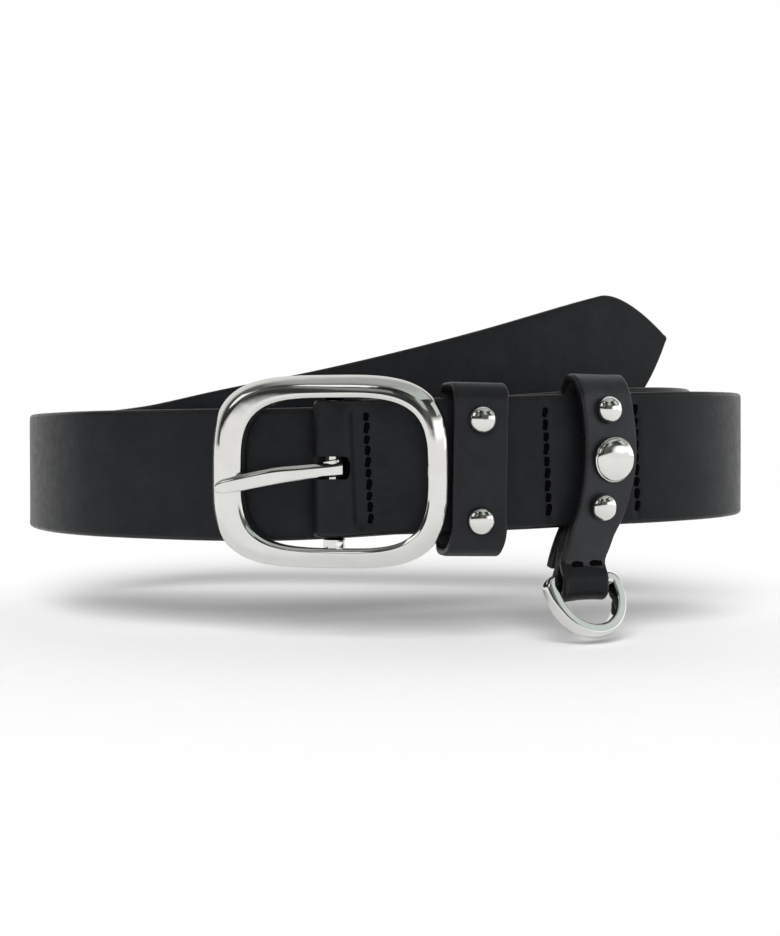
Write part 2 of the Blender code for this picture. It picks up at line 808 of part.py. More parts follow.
def build_hanger(front, parts, cutters):
    axes = front_frame(front, HANGER_X)
    rows = hanger_rows()
    kept = thinned(rows[:, :2] @ np.array(((1.0, 0.0, 0.0), (0.0, 1.0, 0.0))), 5.0,
                   math.radians(15))
    middles = []
    sides = []
    for i in kept:
        point, side, _ = hanger_point(axes, *rows[i])
        middles.append(point)
        sides.append(side)
    hanger = leather_sheet(
        "hanger_strap", middles, sides, [HANGER_WIDTH / 2] * len(middles),
        HANGER_THICKNESS, False, parts, black_leather("hanger_strap", 0.014, 0.44),
    )
    front_side = [row for row in rows if row[0] > 4.0 and row[1] > 4.0]
    studs = []
    placed = (
        ("hanger_rivet_top", RIVET, HANGER_RIVET_HEIGHTS[0], 0.0, 1.5),
        ("hanger_cap", CAP, HANGER_CAP_HEIGHT, 0.1, 2.1),
        ("hanger_rivet_bottom", RIVET, HANGER_RIVET_HEIGHTS[1], -0.4, 1.5),
    )
    for name, profile, height, aside, bore in placed:
        nearest = int(np.argmin([abs(row[1] - height) for row in front_side]))
        point, side, _ = hanger_point(axes, *front_side[nearest])
        above = hanger_point(axes, *front_side[max(nearest - 4, 0)])[0]
        below = hanger_point(axes, *front_side[min(nearest + 4, len(front_side) - 1)])[0]
        up = unit(above - below)
        outward = unit(np.cross(side, up))
        seat = point + side * aside + outward * HANGER_THICKNESS / 2
        hole = cylinder(
            f"{name}_hole", seat - outward * 4.0, seat + outward * 3.0, bore, cutters, 16
        )
        boolean(hanger, cutter(hole), "DIFFERENCE")
        stud = turned_stud(name, profile, parts, bright_nickel(name, 0.08))
        set_on(stud, seat + outward * STUD_GAP, outward, up)
        studs.append(stud)
    return [baked(hanger), *studs]


# Ring


def ring_outline():
    """Middle line of the ring and its outward direction, across and down from its bar."""
    half = RING_HALF_WIDTH - RING_RADIAL / 2
    side_length = RING_DROP - RING_RADIAL / 2 - half
    corner = 1.8
    rows = []
    for share in np.linspace(0.0, 1.0, 5)[:-1]:
        rows.append((-half + corner + share * 2 * (half - corner), 0.0, 90))
    for degrees in range(90, -1, -18):
        angle = math.radians(degrees)
        rows.append(
            (half - corner + corner * math.cos(angle), -corner + corner * math.sin(angle), degrees)
        )
    for degrees in range(0, -181, -12):
        angle = math.radians(degrees)
        rows.append((half * math.cos(angle), -side_length + half * math.sin(angle), degrees))
    for degrees in range(180, 91, -18):
        angle = math.radians(degrees)
        rows.append(
            (-half + corner + corner * math.cos(angle), -corner + corner * math.sin(angle), degrees)
        )
    return rows


def build_ring(front, parts):
    axes = front_frame(front, HANGER_X)
    middle, side, facing = hanger_point(
        axes, HANGER_FOLD_OUT, RING_BAR_Z, HANGER_FOLD_SHIFT, HANGER_FOLD_TURN
    )
    up = np.array((0.0, 0.0, 1.0))
    rise = up * math.cos(RING_SWING) - facing * math.sin(RING_SWING)
    face = facing * math.cos(RING_SWING) + up * math.sin(RING_SWING)
    half_radial = RING_RADIAL / 2
    half_depth = RING_DEPTH / 2
    # Section of the ring: share of its radial half, share of its depth half.
    section = (
        (-1.0, -0.5), (-0.55, -1.0), (0.35, -1.0), (0.85, -0.65), (1.0, 0.0),
        (0.85, 0.65), (0.35, 1.0), (-0.55, 1.0), (-1.0, 0.5),
    )
    rings = []
    for across, height, degrees in ring_outline():
        angle = math.radians(degrees)
        spot = middle + side * across + rise * height
        radial = side * math.cos(angle) + rise * math.sin(angle)
        rings.append(
            [spot + radial * half_radial * r + face * half_depth * d for r, d in section]
        )
    ring = loft("d_ring", rings, True, parts, bright_nickel("d_ring", 0.10))
    return origin_on(baked(ring, math.radians(30)), middle)


def main():
    clear_scene()
    parts = new_collection("studded_leather_belt")
    cutters = new_collection("cutters")
    cutters.hide_render = True
    front = front_curve()
    build_strap(front, parts, cutters)
    build_buckle_frame(parts, cutters)
    build_prong(parts, cutters)
    build_keeper(front, parts, cutters)
    build_hanger(front, parts, cutters)
    build_ring(front, parts)


main()
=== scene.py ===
"""Studded leather belt, dressed: the coiled strap with its stitched and punched end, the
riveted keeper, the hanger with its stitched fold, the centre-bar buckle with its prong,
the domed studs and the ring, each fitted over its own solid.

Tables are in millimetres: +X runs along the front of the coil, +Y away from the buckle,
+Z up, with the coil's lower edge at z = 0.
"""

import math

import bpy
import numpy as np
from bpy.props import FloatProperty, FloatVectorProperty, IntProperty, PointerProperty
from mathutils import Matrix


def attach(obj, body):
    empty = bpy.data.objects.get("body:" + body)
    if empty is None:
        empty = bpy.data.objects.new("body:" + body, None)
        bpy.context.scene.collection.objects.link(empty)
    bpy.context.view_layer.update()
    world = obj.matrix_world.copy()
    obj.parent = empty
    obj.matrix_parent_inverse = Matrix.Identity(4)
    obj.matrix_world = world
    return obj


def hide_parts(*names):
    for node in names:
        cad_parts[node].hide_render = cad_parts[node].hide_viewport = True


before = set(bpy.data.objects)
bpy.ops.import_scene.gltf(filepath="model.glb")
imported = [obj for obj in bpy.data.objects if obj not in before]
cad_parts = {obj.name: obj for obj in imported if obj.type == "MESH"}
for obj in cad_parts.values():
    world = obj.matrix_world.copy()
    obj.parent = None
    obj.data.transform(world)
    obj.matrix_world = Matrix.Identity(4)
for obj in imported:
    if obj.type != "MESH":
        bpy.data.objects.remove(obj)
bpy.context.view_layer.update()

bl_info = {
    "name": "Studded leather belt",
    "version": (1, 0, 0),
    "blender": (4, 5, 0),
    "location": "View3D > Sidebar > Belt",
    "description": "Dresses a coiled leather belt with its buckle, studs, keeper and ring",
    "category": "Add Mesh",
}

MM = 0.001
SEAM = 1e-6
GAP = 0.3
POCKET_GAP = 0.5
STUD_GAP = 0.7
UP = np.array((0.0, 0.0, 1.0))

# Strap
STRAP_WIDTH = 35.0
STRAP_THICKNESS = 3.0
TIP_LENGTH = 20.0
TIP_BLUNTNESS = 0.5
TIP_FULLNESS = 1.65
HOLE_DIAMETER = 4.5
HOLE_COUNT = 5
FIRST_HOLE_FROM_TIP = 100.0
HOLE_PITCH = 25.0

# Buckle
BAR_X = -9.4
BAR_Y = -63.6
BAR_RADIUS = 2.2
BAR_SIDES = 8
BAR_FOOT_RADIUS = 3.5
BAR_FOOT_TOP = 0.5
BAR_BLOCK_RADIUS = 2.9
BAR_BLOCK_HEIGHT = 2.0
BUCKLE_MIDDLE_Z = 18.6
FRAME_HALF_WIDTH = 31.2
FRAME_HALF_HEIGHT = 24.8
FRAME_MIDDLE_FROM_BAR = -1.1
OPENING_HALF_WIDTH = 24.35
OPENING_HALF_HEIGHT = 19.2
OPENING_MIDDLE_FROM_BAR = 0.85
OPENING_MIDDLE_DROP = 0.42
FRAME_SQUARENESS = 3.5
FRAME_BACK_BEHIND_BAR = -1.0
FRAME_TURN = math.radians(10.5)
SLOT_WIDTH = 5.85
SLOT_MIDDLE_Z = 19.52
SLOT_REACH = 4.3
SLOT_END_ROUND = 1.2
SLOT_BEHIND = 5.54
SLOT_LEFT = 5.7
PRONG_WIDTH = 4.0
PRONG_EYE_RADIUS = 3.35
PRONG_GAP = 0.25
PRONG_LEAN = math.radians(9.3)
PRONG_EYE_Z = 19.6

# Keeper
KEEPER_X = 26.6
KEEPER_WIDTH = 14.3
KEEPER_THICKNESS = 2.2
KEEPER_EDGE_ROUND = 0.75
KEEPER_TIP_ROOM = 3.9
KEEPER_ROOM_ABOVE = 1.3
KEEPER_ROOM_BELOW = 4.0
KEEPER_LEAN = math.radians(3.0)
KEEPER_DRIFT_FRONT = 0.7
KEEPER_DRIFT_BACK = 2.3
KEEPER_DRIFT_HEIGHT = 6.5
KEEPER_SKEW = 1.9

# Hanger and ring
HANGER_X = 58.4
HANGER_THICKNESS = 2.2
HANGER_EDGE_ROUND = 0.7
RING_BAR_Z = -10.2
RING_HALF_WIDTH = 12.2
RING_DROP = 15.8
RING_RADIAL = 3.1
RING_DEPTH = 3.9
RING_CORNER = 1.8
RING_SWING = math.radians(30.0)

# Middle of the strap's thickness, from the buckle bar round the coil to the tip.
COIL = (
    (-1.0, -65.4, 19.6), (13.0, -64.1, 20.0), (27.0, -62.7, 20.5), (41.0, -60.6, 21.0),
    (55.0, -57.8, 21.6), (71.0, -54.1, 22.1), (83.5, -49.6, 22.5), (94.6, -42.0, 22.8),
    (104.3, -29.0, 23.1), (108.5, -12.0, 23.3), (106.7, 6.0, 23.3), (95.8, 22.0, 23.1),
    (75.0, 36.0, 22.8), (42.0, 46.0, 22.0), (0.0, 51.5, 20.9), (-40.0, 55.5, 19.8),
    (-70.0, 55.5, 19.1), (-92.0, 49.5, 18.5), (-106.0, 35.0, 18.1), (-109.8, 16.0, 17.8),
    (-105.0, -4.0, 17.7), (-93.5, -24.0, 17.6), (-78.0, -39.5, 17.6), (-60.0, -49.5, 17.6),
    (-42.0, -56.2, 17.6), (-25.0, -57.9, 17.7), (-9.4, -55.9, 18.2), (9.0, -53.9, 19.3),
    (27.0, -52.2, 20.6), (43.0, -49.4, 21.9), (58.0, -45.4, 23.1), (73.0, -39.6, 24.1),
    (85.0, -30.5, 24.6), (93.0, -17.5, 24.8), (95.0, -2.0, 24.8), (89.5, 13.5, 24.6),
    (77.0, 25.0, 24.2), (55.0, 34.0, 23.4), (20.0, 41.0, 22.1), (-20.0, 45.5, 20.3),
    (-55.0, 47.0, 18.5), (-79.0, 43.0, 17.4), (-94.5, 31.5, 16.7), (-99.8, 15.0, 16.5),
    (-96.5, -3.0, 16.7), (-87.0, -19.0, 17.1), (-74.0, -31.0, 18.0), (-59.2, -37.5, 19.6),
    (-42.1, -38.9, 23.2), (-19.2, -35.3, 28.1), (12.3, -27.5, 35.9), (42.6, -18.5, 44.7),
    (73.8, -7.0, 54.6), (91.0, 0.0, 59.2),
)

# Free room between the two layers of the buckle end: x, room.
POCKETS = (
    (-1.0, 0.3), (11.6, 0.3), (16.6, 3.2), (34.5, 3.2), (40.0, 0.3),
    (45.9, 0.3), (50.1, 3.2), (66.7, 3.2), (70.9, 0.3), (75.0, 0.3),
)

# Middle of the hanger's thickness: distance out from the strap's middle, z, shift along
# the strap, turn in degrees.
HANGER = (
    (-4.5, -7.2, -4.9, 18.0), (-3.8, -5.0, -4.4, 14.0), (-3.3, -1.8, -3.1, 7.5),
    (-3.1, 2.6, -1.0, 0.8), (-3.1, 10.0, 0.0, 0.0), (-3.1, 24.0, 0.0, 0.0),
    (-3.1, 36.0, 0.2, 0.5), (-2.9, 39.8, 0.3, 1.2), (-1.7, 41.8, 0.3, 4.5),
    (0.6, 43.0, 0.3, 9.5), (3.1, 42.2, 0.6, 12.0), (4.9, 39.8, 1.0, 13.0),
    (5.5, 36.0, 1.6, 13.0), (5.8, 29.0, 2.4, 11.5), (5.9, 21.0, 2.4, 11.0),
    (5.7, 13.0, 1.2, 11.0), (5.4, 7.5, -0.4, 12.0), (4.8, 3.2, -2.0, 13.5),
    (3.5, -1.4, -2.95, 16.0), (2.4, -4.8, -3.6, 17.5), (3.7, -7.6, -3.7, 18.0),
)
# Half the hanger's width from its fold upwards: z, half width.
HANGER_WAIST = ((-15.0, 7.1), (-1.4, 7.0), (4.0, 6.9), (13.0, 7.4), (21.0, 7.8))
HANGER_TAIL = ((-1.7, -7.5, -3.7, 18.0), (-0.5, -4.8, -3.6, 17.5), (-0.3, -2.0, -3.2, 16.5))
HANGER_FOLD_OUT = 0.95
HANGER_FOLD_SHIFT = -3.7
HANGER_FOLD_RADIUS = 3.95
HANGER_FOLD_TURN = 18.0

KEEPER_RIVET_HEIGHTS = (31.8, 6.2)
KEEPER_RIVET_ALONG = 0.2

# Studs: radius, height of the crown, height of the skirt under the dome.
RIVET_SIZE = (3.5, 2.55, 0.25)
CAP_SIZE = (5.6, 2.75, 0.80)
CAP_LIP = ((5.68, 0.78), (5.82, 0.66), (5.88, 0.44), (5.86, 0.2), (5.75, 0.0))
# How far each stud leans up on its bowed leather, in degrees.
STUD_LEAN = {
    "keeper_rivet_top": 5.0, "keeper_rivet_bottom": -5.0, "hanger_rivet_top": 3.0,
    "hanger_cap": -3.0, "hanger_rivet_bottom": -1.0,
}
# Height of the soft waves that the press leaves on each dome.
RIVET_RIPPLE = 0.10
CAP_RIPPLE = 0.22
RIVET_POST = ((1.2, 0.0), (1.2, -3.0), (2.8, -3.0), (2.8, -3.35), (2.4, -3.6))
RIVET_BORE = 1.5
CAP_BORE = 2.1
CAP_POST = ((1.8, 0.0), (1.8, -3.0), (3.6, -3.0), (3.6, -3.35), (3.2, -3.6))
# Studs of the hanger: name, height, shift to the side, bore.
HANGER_STUDS = (
    ("hanger_rivet_top", 34.6, -0.5, RIVET_BORE), ("hanger_cap", 21.7, 0.1, CAP_BORE),
    ("hanger_rivet_bottom", 9.4, -0.4, RIVET_BORE),
)

# Stitch rows through both layers of the buckle end: x, count of holes, inset from the
# strap's edges.
STITCH_ROWS = ((-1.0, 11, 3.0), (45.6, 10, 3.2), (70.0, 10, 3.2))
# How far a stitch stands over the leather and dives into it, what share of its pitch stays
# free at each end, and how far the holes wander along the belt and up or down.
STITCH_RISE = 0.16
STITCH_DIVE = 0.80
STITCH_FREE_END = 0.05
STITCH_WANDER = (0.16, 0.22)
# How deep and how wide a row is pulled into the leather.
STITCH_SINK = 0.42
STITCH_SINK_REACH = 0.95
# How far each end of a strap stitch slants aside, and where the hanger's stitches lie.
STITCH_SLANT = 0.34
HANGER_STITCH_Z = -5.8
HANGER_STITCHES = ((-4.9, -0.2), (0.9, 6.2))
# The crease and the swell beside the first row: distance from it, depth, reach.
FOLD_CREASES = ((-3.0, 0.65, 1.3), (-6.6, -0.42, 1.9))
# Tool marks on the other side of that row.
MARKS_AWAY = 4.4
MARKS_DEPTH = 0.16
MARKS_REACH = 1.5
MARK_PITCH = 2.9
# Depth of the leather's dish round a stud, and how far it reaches.
DISH_DEPTH = 0.22
KEEPER_DISH_REACH = 3.6
HANGER_DISH_REACH = 4.2

# Rows of faces across the grain side and the flesh side.
STRAP_ROWS = (34, 12)
BAND_ROWS = (20, 8)
# Finishes of the faces; the last is painted shade on the hanger's fold, a darker and duller
# grain.
GRAIN, EDGE, FLESH, FOLD_PAINTED_SHADE = 0, 1, 2, 3
# Height under which the hanger's fold gets painted shade: a darker grain with less sheen.
FOLD_TOP = -6.6
# Angles in degrees from which an edge stays crisp.
LEATHER_CREASE = 42
METAL_CREASE = 28
STUD_CREASE = 35
THREAD_CREASE = 60


# Sizes and finishes that a user would change


class LeatherSettings(bpy.types.PropertyGroup):
    """Finish of the black leather."""

    grain_colour: FloatVectorProperty(
        name="Grain colour", description="Colour of the finished side",
        subtype="COLOR", size=3, default=(0.0049, 0.0053, 0.0063), min=0.0, max=1.0,
    )
    flesh_colour: FloatVectorProperty(
        name="Flesh colour", description="Colour of the raw inner side",
        subtype="COLOR", size=3, default=(0.018, 0.0175, 0.018), min=0.0, max=1.0,
    )
    edge_colour: FloatVectorProperty(
        name="Edge colour", description="Colour of the painted and burnished edges",
        subtype="COLOR", size=3, default=(0.0045, 0.0046, 0.005), min=0.0, max=1.0,
    )
    grain_size: FloatProperty(
        name="Grain size", description="Width of one pebble of the grain",
        subtype="DISTANCE", default=0.00042, min=0.0001, max=0.003,
    )
    gloss: FloatProperty(
        name="Grain roughness", description="Roughness of the finished side",
        subtype="FACTOR", default=0.40, min=0.05, max=1.0,
    )
    edge_round: FloatProperty(
        name="Edge rounding", description="Radius that the edges are burnished to",
        subtype="DISTANCE", default=0.0010, min=0.0003, max=0.0014,
    )


class MetalSettings(bpy.types.PropertyGroup):
    """Finish of the polished nickel plate."""

    colour: FloatVectorProperty(
        name="Plate colour", description="Reflection colour of the plating",
        subtype="COLOR", size=3, default=(0.725, 0.718, 0.698), min=0.0, max=1.0,
    )
    roughness: FloatProperty(
        name="Polish", description="Roughness of the plating",
        subtype="FACTOR", default=0.06, min=0.0, max=1.0,
    )
    stud_sides: IntProperty(
        name="Stud sides", description="Sides round a domed stud", default=64, min=24, max=128,
    )


class ThreadSettings(bpy.types.PropertyGroup):
    """The waxed black thread."""

    thickness: FloatProperty(
        name="Thread thickness", description="Diameter of the thread",
        subtype="DISTANCE", default=0.0014, min=0.0004, max=0.002,
    )
    # Near black: the thread's own black, darkened further as painted shade of its holes and
    # grooves.
    colour: FloatVectorProperty(
        name="Thread colour", description="Colour of the thread",
        subtype="COLOR", size=3, default=(0.0008, 0.0008, 0.0009), min=0.0, max=1.0,
    )


class StageSettings(bpy.types.PropertyGroup):
    """Pale floor and soft light."""

    floor_height: FloatProperty(
        name="Floor height", description="Height of the floor under the ring",
        subtype="DISTANCE", default=-0.0260, min=-0.2, max=0.0,
    )
    floor_colour: FloatVectorProperty(
        name="Floor colour", description="Colour of the floor",
        subtype="COLOR", size=3, default=(0.86, 0.86, 0.86), min=0.0, max=1.0,
    )
    light: FloatProperty(
        name="Front light", description="Strength of the soft light from the front and above",
        default=3.4, min=0.0, max=10.0,
    )


# Curves and frames


def unit(vector):
    return vector / np.linalg.norm(vector)


def spline(points, spacing, start_slope=None):
    """Points every `spacing` along the cubic curve through the given points."""
    points = np.array(points, float)
    count = len(points)
    steps = np.linalg.norm(np.diff(points[:, :3], axis=0), axis=1)
    reach = np.concatenate([[0.0], np.cumsum(steps)])
    system = np.eye(count)
    target = np.zeros_like(points)
    for i in range(1, count - 1):
        system[i, i - 1 : i + 2] = (steps[i - 1], 2 * (steps[i - 1] + steps[i]), steps[i])
        after = (points[i + 1] - points[i]) / steps[i]
        before = (points[i] - points[i - 1]) / steps[i - 1]
        target[i] = 6 * (after - before)
    if start_slope is not None:
        system[0, :2] = (2 * steps[0], steps[0])
        target[0] = 6 * ((points[1] - points[0]) / steps[0] - np.array(start_slope))
    bends = np.linalg.solve(system, target)
    places = np.linspace(0.0, reach[-1], max(2, round(reach[-1] / spacing)) + 1)
    spans = np.clip(np.searchsorted(reach, places, side="right") - 1, 0, count - 2)
    wide = steps[spans][:, None]
    right = (places[:, None] - reach[spans][:, None]) / wide
    left = 1.0 - right
    straight = left * points[spans] + right * points[spans + 1]
    curved = (left**3 - left) * bends[spans] + (right**3 - right) * bends[spans + 1]
    return straight + curved * wide**2 / 6.0


def eased(x, rows):
    """The value at x of a table whose rows are joined by level-ended steps."""
    for (x0, value0), (x1, value1) in zip(rows, rows[1:]):
        if x <= x1:
            share = min(max((x - x0) / (x1 - x0), 0.0), 1.0)
            share = share * share * (3.0 - 2.0 * share)
            return value0 + share * (value1 - value0)
    return rows[-1][1]


def strap_axes(direction):
    """Upward and outward axes of the strap where it travels in this direction."""
    up = unit(UP - (UP @ direction) * direction)
    return up, np.cross(direction, up)


def front_frame(front, x):
    """Middle point, travel, upward and outward axes of the buckle end at this x."""
    nearest = next(i for i in range(len(front)) if front[i, 0] >= x)
    travel = unit(front[nearest + 1] - front[nearest - 1])
    up, outward = strap_axes(travel)
    return front[nearest], travel, up, outward


def arc(across, height, radius, degrees, tall=None):
    """Points round a middle at the given angles, on an oval where `tall` is given."""
    turns = [math.radians(turn) for turn in degrees]
    return [
        (across + radius * math.cos(turn), height + (tall or radius) * math.sin(turn))
        for turn in turns
    ]


def bar_fold():
    """Points round the buckle bar, from the turned-back layer to the front layer."""
    round_bar = arc(BAR_X, BAR_Y, BAR_RADIUS + GAP + STRAP_THICKNESS / 2, range(42, 283, 6))
    return np.array([(x, y, COIL[0][2] - 0.3) for x, y in round_bar])


def front_curve():
    """The coil's middle line from the bar fold to the tip."""
    fold = bar_fold()
    slope = unit(fold[-1] - fold[-2])
    return spline([tuple(fold[-1]), *COIL], 0.5, start_slope=slope)


def turned_back_curve(front):
    """The inner layer of the buckle end, from its cut end back to the bar fold."""
    first = next(i for i in range(len(front)) if front[i, 0] >= POCKETS[0][0])
    last = next(i for i in range(len(front)) if front[i, 0] > POCKETS[-1][0])
    rows = []
    for i in range(first, last):
        travel = unit(front[i + 1] - front[i - 1])
        outward = strap_axes(travel)[1]
        distance = STRAP_THICKNESS + eased(front[i, 0], POCKETS)
        rows.append(front[i] - outward * distance)
    rows = np.array(rows[::-1])
    fold = bar_fold()
    start_way = unit(rows[-1] - rows[-2])
    end_way = unit(fold[1] - fold[0])
    span = np.linalg.norm(fold[0] - rows[-1])
    joined = []
    for share in np.linspace(0.0, 1.0, 12)[1:-1]:
        joined.append(
            (2 * share**3 - 3 * share**2 + 1) * rows[-1]
            + (share**3 - 2 * share**2 + share) * span * start_way
            + (-2 * share**3 + 3 * share**2) * fold[0]
            + (share**3 - share**2) * span * end_way
        )
    return np.concatenate([rows, np.array(joined), fold[:-1]])


def travelled(points):
    """Distance along a curve at each of its points."""
    steps = np.linalg.norm(np.diff(points, axis=0), axis=1)
    return np.concatenate([[0.0], np.cumsum(steps)])


def along(points, reach, places):
    """Points of a curve at the given distances along it."""
    return np.stack([np.interp(places, reach, points[:, i]) for i in range(3)], axis=1)


# Making and shaping a piece


def clear_selection():
    if bpy.context.object and bpy.context.object.mode != "OBJECT":
        bpy.ops.object.mode_set(mode="OBJECT")
    bpy.ops.object.select_all(action="DESELECT")


def take(obj):
    """Makes one object the only selected and active one."""
    clear_selection()
    obj.select_set(True)
    bpy.context.view_layer.objects.active = obj
    return obj


def fresh(name):
    """Names the primitive that was just added."""
    obj = bpy.context.object
    obj.name = name
    obj.data.name = name
    return obj


def set_points(obj, points):
    """Places an object's points, given in millimetres."""
    flat = np.ascontiguousarray(np.array(points, float).reshape(-1) * MM, dtype=np.float32)
    obj.data.vertices.foreach_set("co", flat)
    obj.location = (0.0, 0.0, 0.0)
    obj.rotation_euler = (0.0, 0.0, 0.0)
    obj.scale = (1.0, 1.0, 1.0)
    obj.data.update()
    return obj


def mended(obj, close=False):
    """Turns all faces outwards, after merging the seams and closing the ends where asked."""
    take(obj)
    bpy.ops.object.mode_set(mode="EDIT")
    bpy.ops.mesh.select_all(action="SELECT")
    if close:
        bpy.ops.mesh.remove_doubles(threshold=SEAM)
        bpy.ops.mesh.select_all(action="SELECT")
        bpy.ops.mesh.fill_holes(sides=0)
        bpy.ops.mesh.select_all(action="SELECT")
    bpy.ops.mesh.normals_make_consistent(inside=False)
    bpy.ops.object.mode_set(mode="OBJECT")
    return obj


def rolled(name, rings, finishes=None):
    """A grid rolled round the given sections, with both ends closed as cut edges."""
    rings = np.array(rings)
    stations, around = rings.shape[:2]
    clear_selection()
    bpy.ops.mesh.primitive_grid_add(
        x_subdivisions=stations - 1, y_subdivisions=around, size=0.1
    )
    obj = fresh(name)
    rows = np.transpose(rings, (1, 0, 2))
    set_points(obj, np.concatenate([rows, rows[:1]]))
    if finishes is not None:
        per_face = np.array(finishes, dtype=np.int32)
        if per_face.ndim == 1:
            per_face = np.repeat(per_face, stations - 1)
        obj.data.polygons.foreach_set("material_index", per_face.reshape(-1))
    mended(obj, close=True)
    if finishes is not None:
        for face in obj.data.polygons:
            if len(face.vertices) > 4:
                face.material_index = EDGE
    return obj


def looped(name, rings, finishes=None):
    """A torus whose sections are set one after another round a closed loop."""
    rings = np.array(rings)
    stations, around = rings.shape[:2]
    clear_selection()
    bpy.ops.mesh.primitive_torus_add(
        major_segments=stations, minor_segments=around, major_radius=0.03, minor_radius=0.002
    )
    obj = fresh(name)
    set_points(obj, rings)
    if finishes is not None:
        for face in obj.data.polygons:
            sections = [v % around for v in face.vertices]
            low, high = min(sections), max(sections)
            face.material_index = int(finishes[high if high - low > 1 else low])
    return mended(obj)


def cut(obj, cutter, operation="DIFFERENCE"):
    """Cuts a shape out of a piece, or joins it on, and clears the shape away."""
    take(obj)
    step = obj.modifiers.new("Cut", "BOOLEAN")
    step.operation = operation
    step.solver = "EXACT"
    step.object = cutter
    bpy.ops.object.modifier_apply(modifier=step.name)
    bpy.data.objects.remove(cutter, do_unlink=True)
    return obj


def smooth(obj, degrees):
    take(obj)
    bpy.ops.object.shade_smooth_by_angle(angle=math.radians(degrees))
    return obj


def give(obj, *materials):
    """Adds a new piece's materials in the order of its faces' finishes."""
    for material in materials:
        obj.data.materials.append(material)
    return obj


def post(name, start, axis, stations, sides=32, start_angle=0.0):
    """A round solid along an axis, through (place, radius) stations from its start."""
    side = unit(np.cross(axis, (0.0, 1.0, 0.0) if abs(axis[1]) < 0.9 else (1.0, 0.0, 0.0)))
    other = np.cross(axis, side)
    rings = []
    for place, radius in stations:
        ring = []
        for angle in start_angle + np.linspace(0.0, 2.0 * math.pi, sides, endpoint=False):
            outwards = math.cos(angle) * side + math.sin(angle) * other
            ring.append(start + axis * place + radius * outwards)
        rings.append(ring)
    return rolled(name, rings)


def joined(name, objects):
    """Joins like pieces into one."""
    take(objects[0])
    for obj in objects:
        obj.select_set(True)
    if len(objects) > 1:
        bpy.ops.object.join()
    return fresh(name)


def dressed(obj, body, node, crease):
    """Smooths a finished piece and sets it on its body, in place of its solid."""
    smooth(obj, crease)
    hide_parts(node)
    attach(obj, body)
    return obj


# Finishes


class Wiring:
    """Nodes that are added and wired by name."""

    def __init__(self, tree):
        self.nodes = tree.nodes
        self.links = tree.links

    def put(self, socket, value):
        """Gives a socket a plain value, or wires another node's output to it."""
        if isinstance(value, bpy.types.NodeSocket):
            self.links.new(value, socket)
        else:
            socket.default_value = value

    def add(self, kind, sockets=(), **settings):
        node = self.nodes.new(kind)
        for key, value in settings.items():
            setattr(node, key, value)
        for name, value in dict(sockets).items():
            self.put(node.inputs[name], value)
        return node

    def colours(self, source, stops):
        """Colours that follow a number: (place, colour) stops from low to high."""
        node = self.add("ShaderNodeValToRGB", {"Fac": source})
        elements = node.color_ramp.elements
        elements[0].position, elements[1].position = stops[0][0], stops[-1][0]
        for place, _ in stops[1:-1]:
            elements.new(place)
        for element, (_, colour) in zip(elements, stops):
            element.color = (*colour, 1.0)
        return node.outputs["Color"]


class Recipe(Wiring):
    """A material's shader and the patterns that feed it."""

    def __init__(self, name):
        self.material = bpy.data.materials.new(name)
        self.material.use_nodes = True
        super().__init__(self.material.node_tree)
        self.shader = self.nodes["Principled BSDF"]
        self.place = self.add("ShaderNodeTexCoord").outputs["Object"]

    def noise(self, size, detail=2.0, rough=0.5, stretch=None):
        """Soft noise whose patches are about `size` millimetres wide."""
        source = self.place
        if stretch:
            mapping = self.add("ShaderNodeMapping", {"Vector": source, "Scale": stretch})
            source = mapping.outputs["Vector"]
        return self.add("ShaderNodeTexNoise", {
            "Vector": source, "Scale": 1.0 / (size * MM), "Detail": detail, "Roughness": rough,
        }).outputs["Fac"]

    def pebbles(self, size):
        return self.add("ShaderNodeTexVoronoi", {
            "Vector": self.place, "Scale": 1.0 / (size * MM),
        }, feature="SMOOTH_F1").outputs["Distance"]

    def ramp(self, source, low, high, start=0.3, end=0.7):
        """A number that runs from `low` to `high` as the source runs from start to end."""
        return self.add("ShaderNodeMapRange", {
            "Value": source, "From Min": start, "From Max": end, "To Min": low, "To Max": high,
        }).outputs["Result"]

    def bump(self, height, distance, strength=1.0, under=None):
        node = self.add("ShaderNodeBump", {
            "Height": height, "Distance": distance * MM, "Strength": strength,
        })
        if under is not None:
            self.put(node.inputs["Normal"], under)
        return node.outputs["Normal"]

    def feed(self, **looks):
        """Sets or wires the shader's sockets, named with _ for a space."""
        for name, value in looks.items():
            self.put(self.shader.inputs[name.replace("_", " ")], value)

    def tones(self, source, colour, low, high):
        """One colour, darker and lighter by these factors."""
        return self.colours(source, ((0.3, tinted(colour, low)), (0.7, tinted(colour, high))))


def tinted(colour, factor):
    return tuple(min(1.0, c * factor) for c in colour)


def grain_leather(name, colour, roughness, grain, sheen):
    """Smooth corrected grain: fine pebbles, soft mottling and a waxed sheen."""
    recipe = Recipe(name)
    pebbles = recipe.bump(recipe.pebbles(grain), 0.030, 0.55)
    creases = recipe.bump(recipe.noise(grain * 3.2, 4.0, 0.6), 0.055, 0.6, pebbles)
    streaks = recipe.bump(recipe.noise(1.1, 3.0, 0.6, (0.16, 0.16, 1.0)), 0.06, 0.5, creases)
    recipe.feed(
        Base_Color=recipe.tones(recipe.noise(9.0, 3.0, 0.6), colour, 0.72, 1.3),
        Roughness=recipe.ramp(recipe.noise(2.6, 4.0, 0.65), roughness - 0.05, roughness + 0.07),
        Normal=recipe.bump(recipe.noise(11.0, 2.0), 0.30, 0.6, streaks),
        Specular_IOR_Level=sheen, Specular_Tint=(0.90, 0.935, 1.0, 1.0),
    )
    return recipe.material


